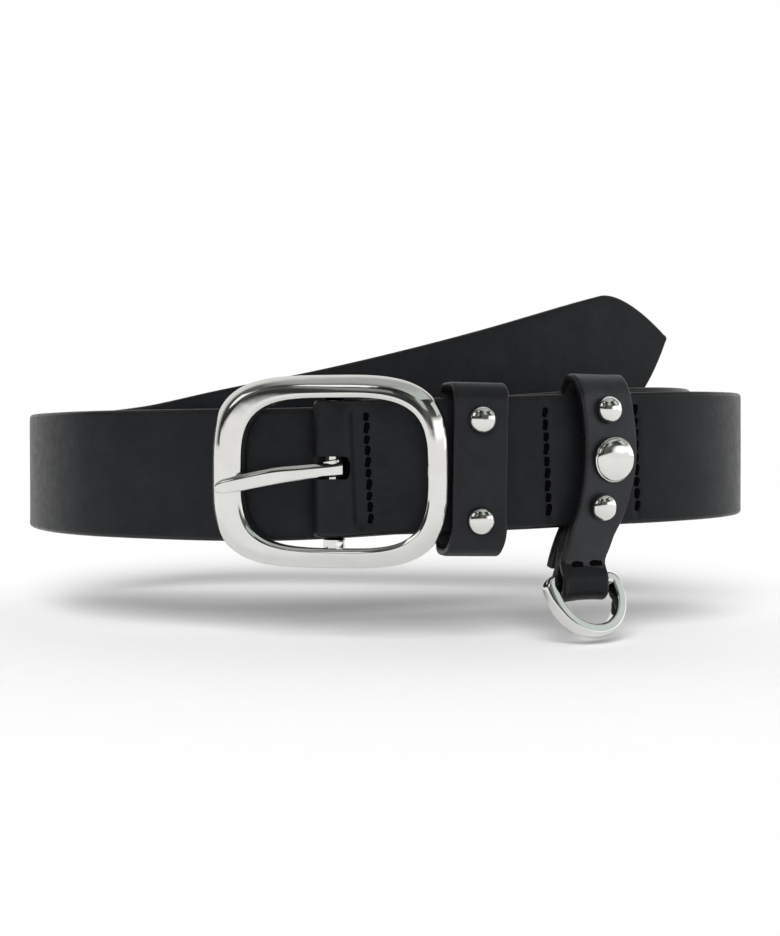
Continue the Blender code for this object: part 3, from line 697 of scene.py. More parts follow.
def edge_paint(name, colour):
    """Burnished and painted edge with fine streaks."""
    recipe = Recipe(name)
    recipe.feed(
        Base_Color=recipe.tones(recipe.noise(0.9, 3.0, 0.6), colour, 0.6, 1.6),
        Roughness=recipe.ramp(recipe.noise(1.8, 3.0), 0.24, 0.42),
        Normal=recipe.bump(recipe.noise(0.5, 4.0, 0.6), 0.08, 0.6),
        Specular_IOR_Level=0.32,
    )
    return recipe.material


def raw_flesh(name, colour):
    """Napped inner side."""
    recipe = Recipe(name)
    recipe.feed(
        Base_Color=recipe.tones(recipe.noise(0.5, 5.0, 0.7), colour, 0.6, 1.5),
        Roughness=recipe.ramp(recipe.noise(1.2, 3.0), 0.78, 0.95),
        Normal=recipe.bump(recipe.noise(0.35, 5.0, 0.75), 0.12, 0.8),
        Specular_IOR_Level=0.3,
    )
    return recipe.material


def waxed_thread(name, colour):
    recipe = Recipe(name)
    fibres = recipe.noise(0.25, 3.0, 0.6, (1.0, 1.0, 0.5))
    # Near-black colour and almost no sheen: black thread, darkened further as painted shade of
    # its holes.
    recipe.feed(
        Base_Color=recipe.tones(fibres, colour, 0.5, 1.8),
        Roughness=recipe.ramp(fibres, 0.55, 0.8),
        Normal=recipe.bump(fibres, 0.06, 0.7),
        Specular_IOR_Level=0.03,
    )
    return recipe.material


def leather_set(piece, grain_scale=1.0, lift=1.0, sheen=0.235):
    """Grain, edge and flesh finishes of one leather piece."""
    looks = bpy.context.scene.belt_leather
    return (
        grain_leather(
            piece + "_grain", tinted(looks.grain_colour, lift), looks.gloss,
            looks.grain_size / MM * grain_scale, sheen,
        ),
        edge_paint(piece + "_burnished_edge", looks.edge_colour),
        raw_flesh(piece + "_flesh_side", looks.flesh_colour),
    )


def nickel_for(piece, factor=1.0, ripple=0.05):
    """Polished plate, slightly wavy from the polishing wheel or the press."""
    looks = bpy.context.scene.belt_metal
    rough = looks.roughness * factor
    recipe = Recipe(piece + "_polished_nickel")
    waves = recipe.bump(recipe.noise(3.2, 1.0, 0.4), ripple, 0.5)
    recipe.feed(
        Base_Color=recipe.tones(recipe.noise(6.0, 2.0), looks.colour, 0.97, 1.02),
        Roughness=recipe.ramp(recipe.noise(1.5, 4.0), rough * 0.6, rough * 1.4),
        Normal=recipe.bump(recipe.noise(0.8, 2.0, 0.5), 0.004, 0.5, waves),
        Metallic=1.0,
    )
    return recipe.material


# Leather bands


def band_section(half_width, half_thick, edge_round, front_rows, back_rows, arc_steps=5):
    """Closed section of a band: (across, out) points and the finish of each face."""
    flat = half_width - edge_round
    points = []
    finishes = []
    for side, rows, finish in ((1.0, front_rows, GRAIN), (-1.0, back_rows, FLESH)):
        for share in np.linspace(-1.0, 1.0, rows + 1):
            points.append((side * share * flat, side * half_thick))
        for step in range(1, 2 * arc_steps):
            turn = math.pi / 2 * (1.0 - step / arc_steps)
            rise = math.copysign(half_thick - edge_round, arc_steps - step - 0.5)
            across = flat + edge_round * math.cos(turn)
            points.append((side * across, side * (rise + edge_round * math.sin(turn))))
        finishes += [finish] * rows + [EDGE] * (2 * arc_steps)
    return points, finishes


def band_rings(middles, sides, outs, half_widths, thickness, edge_round, rows, relief):
    """The sections of a leather band along its route, and the finish of their faces."""
    rings = []
    finishes = None
    for i, half_width in enumerate(half_widths):
        rounding = min(edge_round, half_width * 0.8)
        section, finishes = band_section(half_width, thickness / 2, rounding, *rows)
        ring = []
        for across, out in section:
            out += relief(i, across, out)
            ring.append(middles[i] + sides[i] * across + outs[i] * out)
        rings.append(ring)
    return rings, finishes


FOLD_STEPS = len(bar_fold()) - 1


class StrapRoute:
    """The strap's whole route, from its turned-back cut end round the bar to the tip."""

    def __init__(self):
        self.front = front_curve()
        back = turned_back_curve(self.front)
        self.points = np.concatenate([back, self.front])
        self.reach = travelled(self.points)
        self.length = self.reach[-1]
        self.bar_start = self.reach[len(back) - FOLD_STEPS]
        self.bar_end = self.reach[len(back)]
        self.back_count = len(back)

    def at(self, place):
        """Middle point, travel, upward and outward axes at a distance along the route."""
        ahead = along(self.points, self.reach, np.array([place + 0.6]))[0]
        behind = along(self.points, self.reach, np.array([place - 0.6]))[0]
        travel = unit(ahead - behind)
        up, outward = strap_axes(travel)
        return along(self.points, self.reach, np.array([place]))[0], travel, up, outward

    def layers_at(self, x):
        """Distances along the route where both layers of the buckle end cross this x."""
        middle = front_frame(self.front, x)[0]
        found = []
        inner = slice(0, self.back_count - FOLD_STEPS - 5)
        for part in (inner, slice(self.back_count, len(self.points))):
            gaps = np.linalg.norm(self.points[part][:, :2] - middle[:2], axis=1)
            found.append(self.reach[part][int(np.argmin(gaps))])
        return found


def half_width_at(from_tip):
    """Half the strap's width at this distance from the point of the tip."""
    share = min((from_tip + TIP_BLUNTNESS) / TIP_LENGTH, 1.0)
    return STRAP_WIDTH / 2 * (1.0 - (1.0 - share) ** TIP_FULLNESS)


def strap_stations(route, stitch_places):
    """Distances along the route, close together at the fold, the stitches and the tip."""
    places = [0.0]
    while places[-1] < route.length - 0.15:
        here = places[-1]
        to_tip = route.length - here
        to_stitch = min(abs(here - spot) for spot in stitch_places)
        step = 3.0
        if route.bar_start - 3.0 < here < route.bar_end + 8.0:
            step = 0.6
        elif to_stitch < 3.0:
            step = 0.45
        elif to_tip < TIP_LENGTH + 1.0:
            step = 0.75 if to_tip > 3.0 else 0.3
        elif to_tip < TIP_LENGTH + 4.0:
            step = 1.0
        elif to_stitch < 8.0:
            step = 0.9
        places.append(min(here + step, route.length - 0.1))
    return np.array(places)


def strap_relief(places, stitch_places):
    """Shallow dips of the grain side: pulled stitch rows, the crease behind the fold, the
    marks beside the first row and the soft swell of the hide."""
    fold_row = stitch_places[1]

    def relief(i, across, out):
        if out < 0.0:
            return 0.0
        place = places[i]

        def hollow(middle, depth, reach):
            return depth * math.exp(-(((place - middle) / reach) ** 2))

        dip = sum(hollow(spot, STITCH_SINK, STITCH_SINK_REACH) for spot in stitch_places)
        for away, depth, reach in FOLD_CREASES:
            dip += hollow(fold_row + away, depth, reach)
        marks = max(0.0, math.sin(2.0 * math.pi * across / MARK_PITCH)) * min(1.0, place / 20.0)
        dip += marks * hollow(fold_row + MARKS_AWAY, MARKS_DEPTH, MARKS_REACH)
        edge = max(0.0, 1.0 - abs(across) / (STRAP_WIDTH / 2 - 1.2))
        swell = 0.05 * math.sin(place / 17.0 + across / 9.0) * math.sin(place / 41.0 + 1.3)
        return (-dip + swell) * min(1.0, edge * 8.0)

    return relief


def slot_cutter():
    """The flat slot with one round end through both layers at the fold."""
    half = SLOT_WIDTH / 2
    straight_to = BAR_X + SLOT_REACH - SLOT_END_ROUND
    outline = [
        (BAR_X - SLOT_LEFT, -half),
        *arc(straight_to, 0.0, SLOT_END_ROUND, range(-90, 91, 10), half),
        (BAR_X - SLOT_LEFT, half),
    ]
    rings = []
    for y in (BAR_Y - 9.0, BAR_Y + SLOT_BEHIND):
        rings.append([(x, y, SLOT_MIDDLE_Z + z) for x, z in reversed(outline)])
    return punched_as_edge(rolled("slot_punch", rings))


def punched_as_edge(cutter):
    """The walls that a punch leaves take the edge finish."""
    for name in ("blank_grain", "blank_edge", "blank_flesh"):
        cutter.data.materials.append(bpy.data.materials.get(name) or bpy.data.materials.new(name))
    for face in cutter.data.polygons:
        face.material_index = EDGE
    return cutter


def thread_stitch(start, end, out, radius):
    """One stitch: it comes up out of the leather, lies on it and dives in again."""
    way = end - start
    side = np.cross(unit(way), out)
    rings = []
    for share in np.linspace(0.0, 1.0, 13):
        arch = 1.0 - abs(2.0 * share - 1.0) ** 8
        lift = -STITCH_DIVE + (STITCH_DIVE + STITCH_RISE) * arch
        inwards = STITCH_FREE_END + (1.0 - 2.0 * STITCH_FREE_END) * share
        middle = start + way * inwards + out * lift
        swell = radius * (0.82 + 0.18 * math.sin(math.pi * share))
        ring = []
        for angle in np.linspace(0.0, 2.0 * math.pi, 10, endpoint=False):
            ply = swell * (1.0 - 0.10 * math.cos(2.0 * (angle + share * 5.0)))
            ring.append(
                middle + side * (ply * math.cos(angle)) + out * (0.85 * ply * math.sin(angle))
            )
        rings.append(ring)
    return rolled("stitch", rings)


def strap_stitch_spots(route):
    """For each row and layer: its distance along the route and the spots of its holes."""
    rows = []
    for x, count, inset in STITCH_ROWS:
        for place in route.layers_at(x):
            middle, travel, up, outward = route.at(place)
            seats = []
            highest = STRAP_WIDTH / 2 - inset
            for number, height in enumerate(np.linspace(highest, -highest, count)):
                aside = STITCH_WANDER[0] * math.sin(number * 2.4 + x)
                shift = STITCH_WANDER[1] * math.sin(number * 3.7 + 2.0 * x)
                seats.append(
                    middle + up * (height + shift) + travel * aside
                    + outward * (STRAP_THICKNESS / 2 - STITCH_SINK)
                )
            rows.append((place, seats, travel, up, outward))
    return rows


class BELT_OT_strap(bpy.types.Operator):
    """Cuts, punches and coils the strap"""

    bl_idname = "belt.strap"
    bl_label = "Coiled strap"

    def execute(self, context):
        route = StrapRoute()
        rows = strap_stitch_spots(route)
        stitch_places = [row[0] for row in rows]
        places = strap_stations(route, stitch_places)
        middles = along(route.points, route.reach, places)
        axes = [route.at(min(max(p, 0.7), route.length - 0.7))[2:] for p in places]
        half_widths = [half_width_at(route.length - p) for p in places]
        rings, finishes = band_rings(
            middles, [a[0] for a in axes], [a[1] for a in axes], half_widths,
            STRAP_THICKNESS, context.scene.belt_leather.edge_round / MM, STRAP_ROWS,
            strap_relief(places, stitch_places),
        )
        strap = rolled("strap_leather", rings, finishes)
        give(strap, *leather_set("strap"))
        cut(strap, slot_cutter())
        for number in range(HOLE_COUNT):
            place = route.length - FIRST_HOLE_FROM_TIP - number * HOLE_PITCH
            middle, _, _, outward = route.at(place)
            radius = HOLE_DIAMETER / 2
            levels = ((-4.0, radius + 0.1), (-1.45, radius), (1.1, radius), (1.75, radius + 0.45))
            cut(strap, punched_as_edge(post("belt_punch", middle, outward, levels)))
        dressed(strap, "leather", "strap", LEATHER_CREASE)
        return {"FINISHED"}


class BELT_OT_stitches(bpy.types.Operator):
    """Sews the rows of thread through the buckle end and the hanger"""

    bl_idname = "belt.stitches"
    bl_label = "Stitch rows"

    def execute(self, context):
        route = StrapRoute()
        thread = waxed_thread("waxed_black_thread", context.scene.belt_thread.colour)
        radius = context.scene.belt_thread.thickness / MM / 2
        names = ("buckle_row", "middle_row", "end_row")
        for index, (_, seats, travel, _, outward) in enumerate(strap_stitch_spots(route)):
            slant = travel * STITCH_SLANT
            stitches = [
                thread_stitch(start + slant, end - slant, outward, radius)
                for start, end in zip(seats, seats[1:])
            ]
            side = ("inner", "outer")[index % 2]
            self.sew(joined(f"stitches_{names[index // 2]}_{side}", stitches), thread, "strap")
        for side, seats, outward in hanger_stitch_spots(front_curve()):
            stitches = [thread_stitch(*ends, outward, radius * 1.2) for ends in seats]
            self.sew(joined(f"stitches_hanger_{side}", stitches), thread, "hanger_strap")
        return {"FINISHED"}

    def sew(self, row, thread, slot):
        give(row, thread)
        smooth(row, THREAD_CREASE)
        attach(row, "leather")


# Keeper


def keeper_section():
    """The keeper's loop seen from its end: distance out, height, from the strap's middle."""
    back = -(STRAP_THICKNESS / 2 + POCKET_GAP + KEEPER_THICKNESS / 2)
    front = STRAP_THICKNESS / 2 + GAP + KEEPER_TIP_ROOM + KEEPER_THICKNESS / 2
    top = STRAP_WIDTH / 2 + KEEPER_ROOM_ABOVE + KEEPER_THICKNESS / 2
    bottom = -(STRAP_WIDTH / 2 + KEEPER_ROOM_BELOW + KEEPER_THICKNESS / 2)
    corners = (
        (back, bottom, 2.2, 180), (front, bottom, 4.4, 270),
        (front, top, 3.4, 0), (back, top, 2.2, 90),
    )
    points = []
    for out, height, radius, start in corners:
        middle_out = out + math.copysign(radius, -out)
        middle_height = height + math.copysign(radius, -height)
        turns = [start + step * 7.5 for step in range(13)]
        points += arc(middle_out, middle_height, radius, turns)
    return points, front


def keeper_axes(front):
    middle, travel, up, outward = front_frame(front, KEEPER_X)
    leaned_up = up * math.cos(KEEPER_LEAN) + travel * math.sin(KEEPER_LEAN)
    leaned_along = travel * math.cos(KEEPER_LEAN) - up * math.sin(KEEPER_LEAN)
    return middle, leaned_along, leaned_up, outward


def keeper_seats(front):
    """Where the keeper's rivets sit on its front wall, the upper one first."""
    middle, side, up, outward = keeper_axes(front)
    front_out = keeper_section()[1]
    seats = []
    for height in KEEPER_RIVET_HEIGHTS:
        rise = (height - middle[2]) / up[2]
        seat = middle + up * rise + side * KEEPER_RIVET_ALONG
        seats.append(seat + outward * (front_out + KEEPER_THICKNESS / 2))
    return seats


def keeper_drift(out, height, section, front_out):
    """How far the loop has slipped towards the buckle, most at its back and lower end."""
    lowest = min(row[1] for row in section)
    back_out = min(row[0] for row in section)
    depth_share = (front_out - out) / (front_out - back_out)
    most = KEEPER_DRIFT_FRONT + depth_share * (KEEPER_DRIFT_BACK - KEEPER_DRIFT_FRONT)
    above = depth_share * KEEPER_SKEW
    return eased(height, ((lowest, most), (lowest + KEEPER_DRIFT_HEIGHT, above)))


def dished(seats, reach, middles, sides, outs):
    """A band's relief: the leather's slight dish round each stud."""

    def relief(i, across, out):
        if out < 0.0:
            return 0.0
        point = middles[i] + sides[i] * across + outs[i] * out
        gaps = [np.linalg.norm(point - seat) for seat in seats]
        return -sum(DISH_DEPTH * math.exp(-((gap / reach) ** 4)) for gap in gaps)

    return relief


class BELT_OT_keeper(bpy.types.Operator):
    """Bends the keeper round the strap and punches it for its rivets"""

    bl_idname = "belt.keeper"
    bl_label = "Riveted keeper"

    def execute(self, context):
        front = front_curve()
        middle, side, up, outward = keeper_axes(front)
        section, front_out = keeper_section()
        route = []
        for here, after in zip(section, section[1:] + section[:1]):
            steps = max(1, round(math.dist(here, after) / 1.2))
            for share in np.linspace(0.0, 1.0, steps, endpoint=False):
                route.append([a + share * (b - a) for a, b in zip(here, after)])
        route = np.array(route)
        ways = [unit(way) for way in np.roll(route, -1, axis=0) - np.roll(route, 1, axis=0)]
        middles = []
        outs = []
        for (out, height), (way_out, way_up) in zip(route, ways):
            drift = keeper_drift(out, height, section, front_out)
            middles.append(middle + outward * out + up * height - side * drift)
            outs.append(outward * way_up - up * way_out)
        seats = keeper_seats(front)
        sides = [side] * len(middles)
        rings, finishes = band_rings(
            middles, sides, outs, [KEEPER_WIDTH / 2] * len(middles), KEEPER_THICKNESS,
            KEEPER_EDGE_ROUND, BAND_ROWS, dished(seats, KEEPER_DISH_REACH, middles, sides, outs),
        )
        keeper = looped("keeper_leather", rings, finishes)
        give(keeper, *leather_set("keeper", grain_scale=0.9, lift=1.3, sheen=0.28))
        for seat in seats:
            hole = post("rivet_hole", seat, outward, ((-5.0, RIVET_BORE), (3.0, RIVET_BORE)))
            cut(keeper, punched_as_edge(hole))
        dressed(keeper, "leather", "keeper", LEATHER_CREASE)
        return {"FINISHED"}


# Hanger


def hanger_rows():
    """Dense rows of the hanger: distance out, z, shift along the strap, turn."""
    points = arc(HANGER_FOLD_OUT, RING_BAR_Z, HANGER_FOLD_RADIUS, range(8, -188, -12))
    fold = [(*point, HANGER_FOLD_SHIFT, HANGER_FOLD_TURN) for point in points]
    return spline([*HANGER, *fold, *HANGER_TAIL], 0.4)


def hanger_point(axes, out, height, shift, turn):
    """A point of the hanger's middle line with its sideways and outward axes."""
    middle, travel = axes[:2]
    angle = math.radians(turn)
    flat = unit(np.array((travel[0], travel[1], 0.0)))
    ahead = np.array((flat[1], -flat[0], 0.0))
    side = flat * math.cos(angle) - ahead * math.sin(angle)
    facing = ahead * math.cos(angle) + flat * math.sin(angle)
    point = np.array((middle[0], middle[1], 0.0)) + ahead * out + flat * shift
    point[2] = height
    return point, side, facing


def hanger_seats(front):
    """Name, seat, outward and upward axis and bore of each stud on the hanger."""
    axes = front_frame(front, HANGER_X)
    front_side = [row for row in hanger_rows() if row[0] > 4.0 and row[1] > 4.0]
    seats = []
    for name, height, aside, bore in HANGER_STUDS:
        nearest = int(np.argmin([abs(row[1] - height) for row in front_side]))
        point, side, _ = hanger_point(axes, *front_side[nearest])
        above = hanger_point(axes, *front_side[max(nearest - 4, 0)])[0]
        below = hanger_point(axes, *front_side[min(nearest + 4, len(front_side) - 1)])[0]
        up = unit(above - below)
        outward = unit(np.cross(side, up))
        seat = point + side * aside + outward * HANGER_THICKNESS / 2
        seats.append((name, seat, outward, up, bore))
    return seats


def hanger_stitch_spots(front):
    """Stitches across the hanger's fold, on its front and on its back."""
    axes = front_frame(front, HANGER_X)
    rows = hanger_rows()
    lowest = int(np.argmin(rows[:, 1]))
    found = []
    for label, start, end in (("front", lowest // 2, lowest), ("back", 0, lowest // 2)):
        nearest = start + int(np.argmin(np.abs(rows[start:end, 1] - HANGER_STITCH_Z)))
        point, side, _ = hanger_point(axes, *rows[nearest])
        after = hanger_point(axes, *rows[nearest + 3])[0]
        before = hanger_point(axes, *rows[nearest - 3])[0]
        out = unit(np.cross(after - before, side))
        if (out @ axes[3] > 0) != (label == "front"):
            out = -out
        lift = out * (HANGER_THICKNESS / 2 - 0.3)
        spots = [[point + side * across + lift for across in ends] for ends in HANGER_STITCHES]
        found.append((label, spots, out))
    return found


class BELT_OT_hanger(bpy.types.Operator):
    """Folds the hanger over the strap and round the ring"""

    bl_idname = "belt.hanger"
    bl_label = "Hanger strap"

    def execute(self, context):
        front = front_curve()
        axes = front_frame(front, HANGER_X)
        rows = hanger_rows()[::2]
        middles = []
        sides = []
        for row in rows:
            point, side, _ = hanger_point(axes, *row)
            middles.append(point)
            sides.append(side)
        middles = np.array(middles)
        ways = [unit(way) for way in np.gradient(middles, axis=0)]
        outs = [unit(np.cross(way, side)) for way, side in zip(ways, sides)]
        sides = [unit(np.cross(out, way)) for out, way in zip(outs, ways)]
        seats = hanger_seats(front)
        front_index = int(np.argmin(np.linalg.norm(middles - seats[1][1], axis=1)))
        if outs[front_index] @ seats[1][2] < 0:
            outs = [-out for out in outs]
        studs = [seat[1] for seat in seats]
        rings, finishes = band_rings(
            middles, sides, outs, [eased(middle[2], HANGER_WAIST) for middle in middles],
            HANGER_THICKNESS, HANGER_EDGE_ROUND, BAND_ROWS,
            dished(studs, HANGER_DISH_REACH, middles, sides, outs),
        )
        finishes = np.repeat(np.array(finishes)[:, None], len(rings) - 1, axis=1)
        # Grain faces of the fold below FOLD_TOP take painted shade: a darker, duller grain.
        in_fold = (middles[:-1, 2] < FOLD_TOP) & (middles[1:, 2] < FOLD_TOP)
        finishes[np.ix_(finishes[:, 0] == GRAIN, in_fold)] = FOLD_PAINTED_SHADE
        hanger = rolled("hanger_leather", rings, finishes)
        # Painted shade for the fold: the grain colour without the hanger's lift, and less sheen.
        fold_painted_shade = grain_leather(
            "hanger_fold_painted_shade", context.scene.belt_leather.grain_colour,
            roughness=0.38, grain=0.4, sheen=0.15,
        )
        leathers = leather_set("hanger", grain_scale=0.9, lift=1.5, sheen=0.41)
        give(hanger, *leathers, fold_painted_shade)
        for _, seat, outward, _, bore in seats:
            hole = post("stud_hole", seat, outward, ((-4.0, bore), (3.0, bore)))
            cut(hanger, punched_as_edge(hole))
        dressed(hanger, "leather", "hanger_strap", LEATHER_CREASE)
        return {"FINISHED"}


# Buckle


def frame_point(along_x, depth, height):
    """A point of the buckle given from its bar, turned with the frame about that bar."""
    return np.array(
        (
            BAR_X + along_x * math.cos(FRAME_TURN) + depth * math.sin(FRAME_TURN),
            BAR_Y - along_x * math.sin(FRAME_TURN) + depth * math.cos(FRAME_TURN),
            height,
        )
    )


def rounded_oblong(half_width, half_height, angle):
    """A point of an oblong with bowed sides and full round corners."""
    power = 2.0 / FRAME_SQUARENESS
    across = math.copysign(abs(math.cos(angle)) ** power, math.cos(angle))
    upward = math.copysign(abs(math.sin(angle)) ** power, math.sin(angle))
    return half_width * across, half_height * upward


def softened(outline, steps=3):
    """A closed outline of (x, y, corner radius) with its corners turned to arcs."""
    points = []
    count = len(outline)
    for i in range(count):
        here = np.array(outline[i][:2], float)
        before = np.array(outline[i - 1][:2], float)
        after = np.array(outline[(i + 1) % count][:2], float)
        to_before = before - here
        to_after = after - here
        reach = min(
            outline[i][2], 0.45 * np.linalg.norm(to_before), 0.45 * np.linalg.norm(to_after)
        )
        start = here + unit(to_before) * reach
        end = here + unit(to_after) * reach
        for share in np.linspace(0.0, 1.0, steps + 1):
            points.append(
                (1 - share) ** 2 * start + 2 * share * (1 - share) * here + share**2 * end
            )
    return points


# Section of the rail from the opening outwards: share of its width, depth from its back,
# corner radius.
RAIL = (
    (0.00, 0.55, 0.4), (0.00, 4.45, 0.22), (0.19, 5.18, 0.22), (0.34, 4.97, 0.8),
    (0.50, 4.55, 0.8), (0.66, 3.92, 0.8), (0.80, 3.20, 0.7), (0.92, 2.46, 0.6),
    (1.00, 1.65, 0.5), (1.00, 1.0, 0.4), (0.96, 0.35, 0.4), (0.86, 0.0, 0.3),
    (0.12, 0.0, 0.4),
)
RAIL_STEPS = 176
RAIL_WIDTH = 6.4
RAIL_RIDGE = 0.19
RAIL_SLOPE = 0.34
RAIL_NARROWEST = 5.6


def rail_share(share, width):
    """Place across a rail of this width, whose ridge and outer slope keep their own width."""
    ratio = min(RAIL_NARROWEST / width, 1.0)
    ridge = RAIL_RIDGE * ratio
    slope = 1.0 - (1.0 - RAIL_SLOPE) * ratio
    return float(np.interp(share, (0.0, RAIL_RIDGE, RAIL_SLOPE, 1.0), (0.0, ridge, slope, 1.0)))


class BELT_OT_buckle(bpy.types.Operator):
    """Casts the buckle's rail and its centre bar in one piece"""

    bl_idname = "belt.buckle"
    bl_label = "Buckle frame"

    def execute(self, context):
        outline = [(share * RAIL_WIDTH, depth, corner) for share, depth, corner in RAIL]
        section = [(x / RAIL_WIDTH, depth) for x, depth in softened(outline)]
        rings = []
        for angle in np.linspace(0.0, 2.0 * math.pi, RAIL_STEPS, endpoint=False):
            outer = np.array(rounded_oblong(FRAME_HALF_WIDTH, FRAME_HALF_HEIGHT, angle))
            inner = np.array(rounded_oblong(OPENING_HALF_WIDTH, OPENING_HALF_HEIGHT, angle))
            outer += (FRAME_MIDDLE_FROM_BAR, 0.0)
            inner += (OPENING_MIDDLE_FROM_BAR, -OPENING_MIDDLE_DROP)
            width = np.linalg.norm(outer - inner)
            ring = []
            for share, depth in section:
                across, height = inner + rail_share(share, width) * (outer - inner)
                ring.append(
                    frame_point(across, FRAME_BACK_BEHIND_BAR - depth, BUCKLE_MIDDLE_Z + height)
                )
            rings.append(ring)
        rail = looped("buckle_nickel", rings)
        top = BUCKLE_MIDDLE_Z + OPENING_HALF_HEIGHT - OPENING_MIDDLE_DROP
        bottom = BUCKLE_MIDDLE_Z - OPENING_HALF_HEIGHT - OPENING_MIDDLE_DROP
        stations = (
            (bottom - 2.0, BAR_BLOCK_RADIUS), (bottom + BAR_BLOCK_HEIGHT, BAR_BLOCK_RADIUS),
            (bottom + BAR_BLOCK_HEIGHT + 0.7, BAR_RADIUS),
            (top - BAR_FOOT_TOP, BAR_RADIUS), (top + 0.2, BAR_FOOT_RADIUS),
            (top + 2.0, BAR_FOOT_RADIUS),
        )
        first_side = math.pi / BAR_SIDES - FRAME_TURN
        bar = post("centre_bar", frame_point(0.0, 0.0, 0.0), UP, stations, BAR_SIDES, first_side)
        cut(rail, bar, "UNION")
        give(rail, nickel_for("buckle"))
        dressed(rail, "buckle", "buckle_frame", METAL_CREASE)
        return {"FINISHED"}


# Shank of the prong: distance left of the bar, depth in front of it, drop below its lean,
# half width, half thickness.
SHANK = (
    (-2.9, 2.05, 0.70, 1.90, 1.10), (-0.6, 2.45, 0.62, 1.90, 1.20),
    (3.0, 3.05, 0.30, 1.85, 1.25), (8.0, 4.35, 0.00, 1.95, 1.35),
    (14.0, 6.00, -0.20, 2.20, 1.35), (20.0, 7.30, 0.00, 2.20, 1.30),
    (24.5, 7.90, 0.20, 2.05, 1.15), (27.2, 7.80, 0.28, 1.85, 0.95),
    (28.8, 7.60, 0.30, 1.45, 0.80), (29.6, 7.40, 0.30, 0.95, 0.60),
)
# Bevels along the shank's upper and lower front edges: share of its half thickness, and how
# much wider than deep they are.
SHANK_UPPER_BEVEL = 0.62
SHANK_LOWER_BEVEL = 0.30
SHANK_BEVEL_SPREAD = 1.25
EYE_CHAMFER = 0.3
EYE_SIDES = 40


class BELT_OT_prong(bpy.types.Operator):
    """Forges the prong with its eye round the bar"""

    bl_idname = "belt.prong"
    bl_label = "Prong"

    def execute(self, context):
        rings = []
        for along_x, front, drop, wide, thick in spline(SHANK, 0.8):
            middle_z = PRONG_EYE_Z - along_x * math.tan(PRONG_LEAN) - drop
            above = SHANK_UPPER_BEVEL * thick
            below = SHANK_LOWER_BEVEL * thick
            outline = (
                (-wide, -thick, 0.3), (wide, -thick, 0.3), (wide, thick - above, 0.35),
                (wide - above * SHANK_BEVEL_SPREAD, thick, 0.3),
                (-wide + below * SHANK_BEVEL_SPREAD, thick, 0.3), (-wide, thick - below, 0.3),
            )
            ring = []
            for across, out in softened(outline):
                ring.append(frame_point(-along_x, -(front + out), middle_z + across))
            rings.append(ring)
        prong = rolled("prong_nickel", rings)
        eye_middle = frame_point(0.0, 0.0, PRONG_EYE_Z)
        leaned = frame_point(-math.sin(PRONG_LEAN), 0.0, PRONG_EYE_Z + math.cos(PRONG_LEAN))
        half = PRONG_WIDTH / 2
        end_radius = PRONG_EYE_RADIUS - EYE_CHAMFER
        stations = (
            (-half, end_radius), (-half + EYE_CHAMFER, PRONG_EYE_RADIUS),
            (half - EYE_CHAMFER, PRONG_EYE_RADIUS), (half, end_radius),
        )
        eye = post("prong_eye", eye_middle, unit(leaned - eye_middle), stations, EYE_SIDES)
        cut(prong, eye, "UNION")
        bore = BAR_RADIUS + PRONG_GAP
        bored = post("prong_bore", eye_middle, UP, ((-8.0, bore), (8.0, bore)), EYE_SIDES)
        cut(prong, bored)
        give(prong, nickel_for("prong"))
        dressed(prong, "prong", "prong", METAL_CREASE)
        return {"FINISHED"}


# Ring


def ring_outline():
    """Middle line of the ring and its outward direction, across and down from its bar."""
    half = RING_HALF_WIDTH - RING_RADIAL / 2
    straight = half - RING_CORNER
    side_length = RING_DROP - RING_RADIAL / 2 - half
    rows = [(share * straight, 0.0, 90) for share in np.linspace(-1.0, 1.0, 13)[:-1]]
    for across, height, radius, turns in (
        (straight, -RING_CORNER, RING_CORNER, range(90, -1, -9)),
        (0.0, -side_length, half, range(0, -181, -4)),
        (-straight, -RING_CORNER, RING_CORNER, range(180, 91, -9)),
    ):
        points = arc(across, height, radius, turns)
        rows += [(*point, turn) for point, turn in zip(points, turns)]
    return rows


# Section of the ring: share of its radial half, share of its depth half, corner radius.
RING_SECTION = (
    (-1.0, -0.75, 0.25), (-0.7, -1.0, 0.25), (0.62, -1.0, 0.3), (0.95, -0.66, 0.35),
    (1.0, 0.0, 0.5), (0.95, 0.66, 0.35), (0.62, 1.0, 0.3), (-0.7, 1.0, 0.25),
    (-1.0, 0.75, 0.25),
)


class BELT_OT_ring(bpy.types.Operator):
    """Casts the ring that hangs in the hanger's fold"""

    bl_idname = "belt.ring"
    bl_label = "Ring"

    def execute(self, context):
        axes = front_frame(front_curve(), HANGER_X)
        middle, side, facing = hanger_point(
            axes, HANGER_FOLD_OUT, RING_BAR_Z, HANGER_FOLD_SHIFT, HANGER_FOLD_TURN
        )
        rise = UP * math.cos(RING_SWING) - facing * math.sin(RING_SWING)
        face = facing * math.cos(RING_SWING) + UP * math.sin(RING_SWING)
        outline = [(r * RING_RADIAL / 2, d * RING_DEPTH / 2, c) for r, d, c in RING_SECTION]
        section = softened(outline)
        rings = []
        for across, height, degrees in ring_outline():
            angle = math.radians(degrees)
            spot = middle + side * across + rise * height
            radial = side * math.cos(angle) + rise * math.sin(angle)
            rings.append([spot + radial * r + face * d for r, d in section])
        ring = looped("ring_nickel", rings)
        give(ring, nickel_for("ring"))
        dressed(ring, "ring", "d_ring", METAL_CREASE)
        return {"FINISHED"}


# Studs


def dome_outline(radius, height, skirt, foot=None, steps=11):
    """Radius and height of a pressed dome over a low skirt, from crown to seat."""
    rows = []
    for step in range(steps + 1):
        angle = 0.5 * math.pi * step / steps
        rows.append((radius * math.sin(angle), skirt + (height - skirt) * math.cos(angle)))
    return rows + list(foot or ((radius, 0.1), (radius - 0.15, 0.0)))


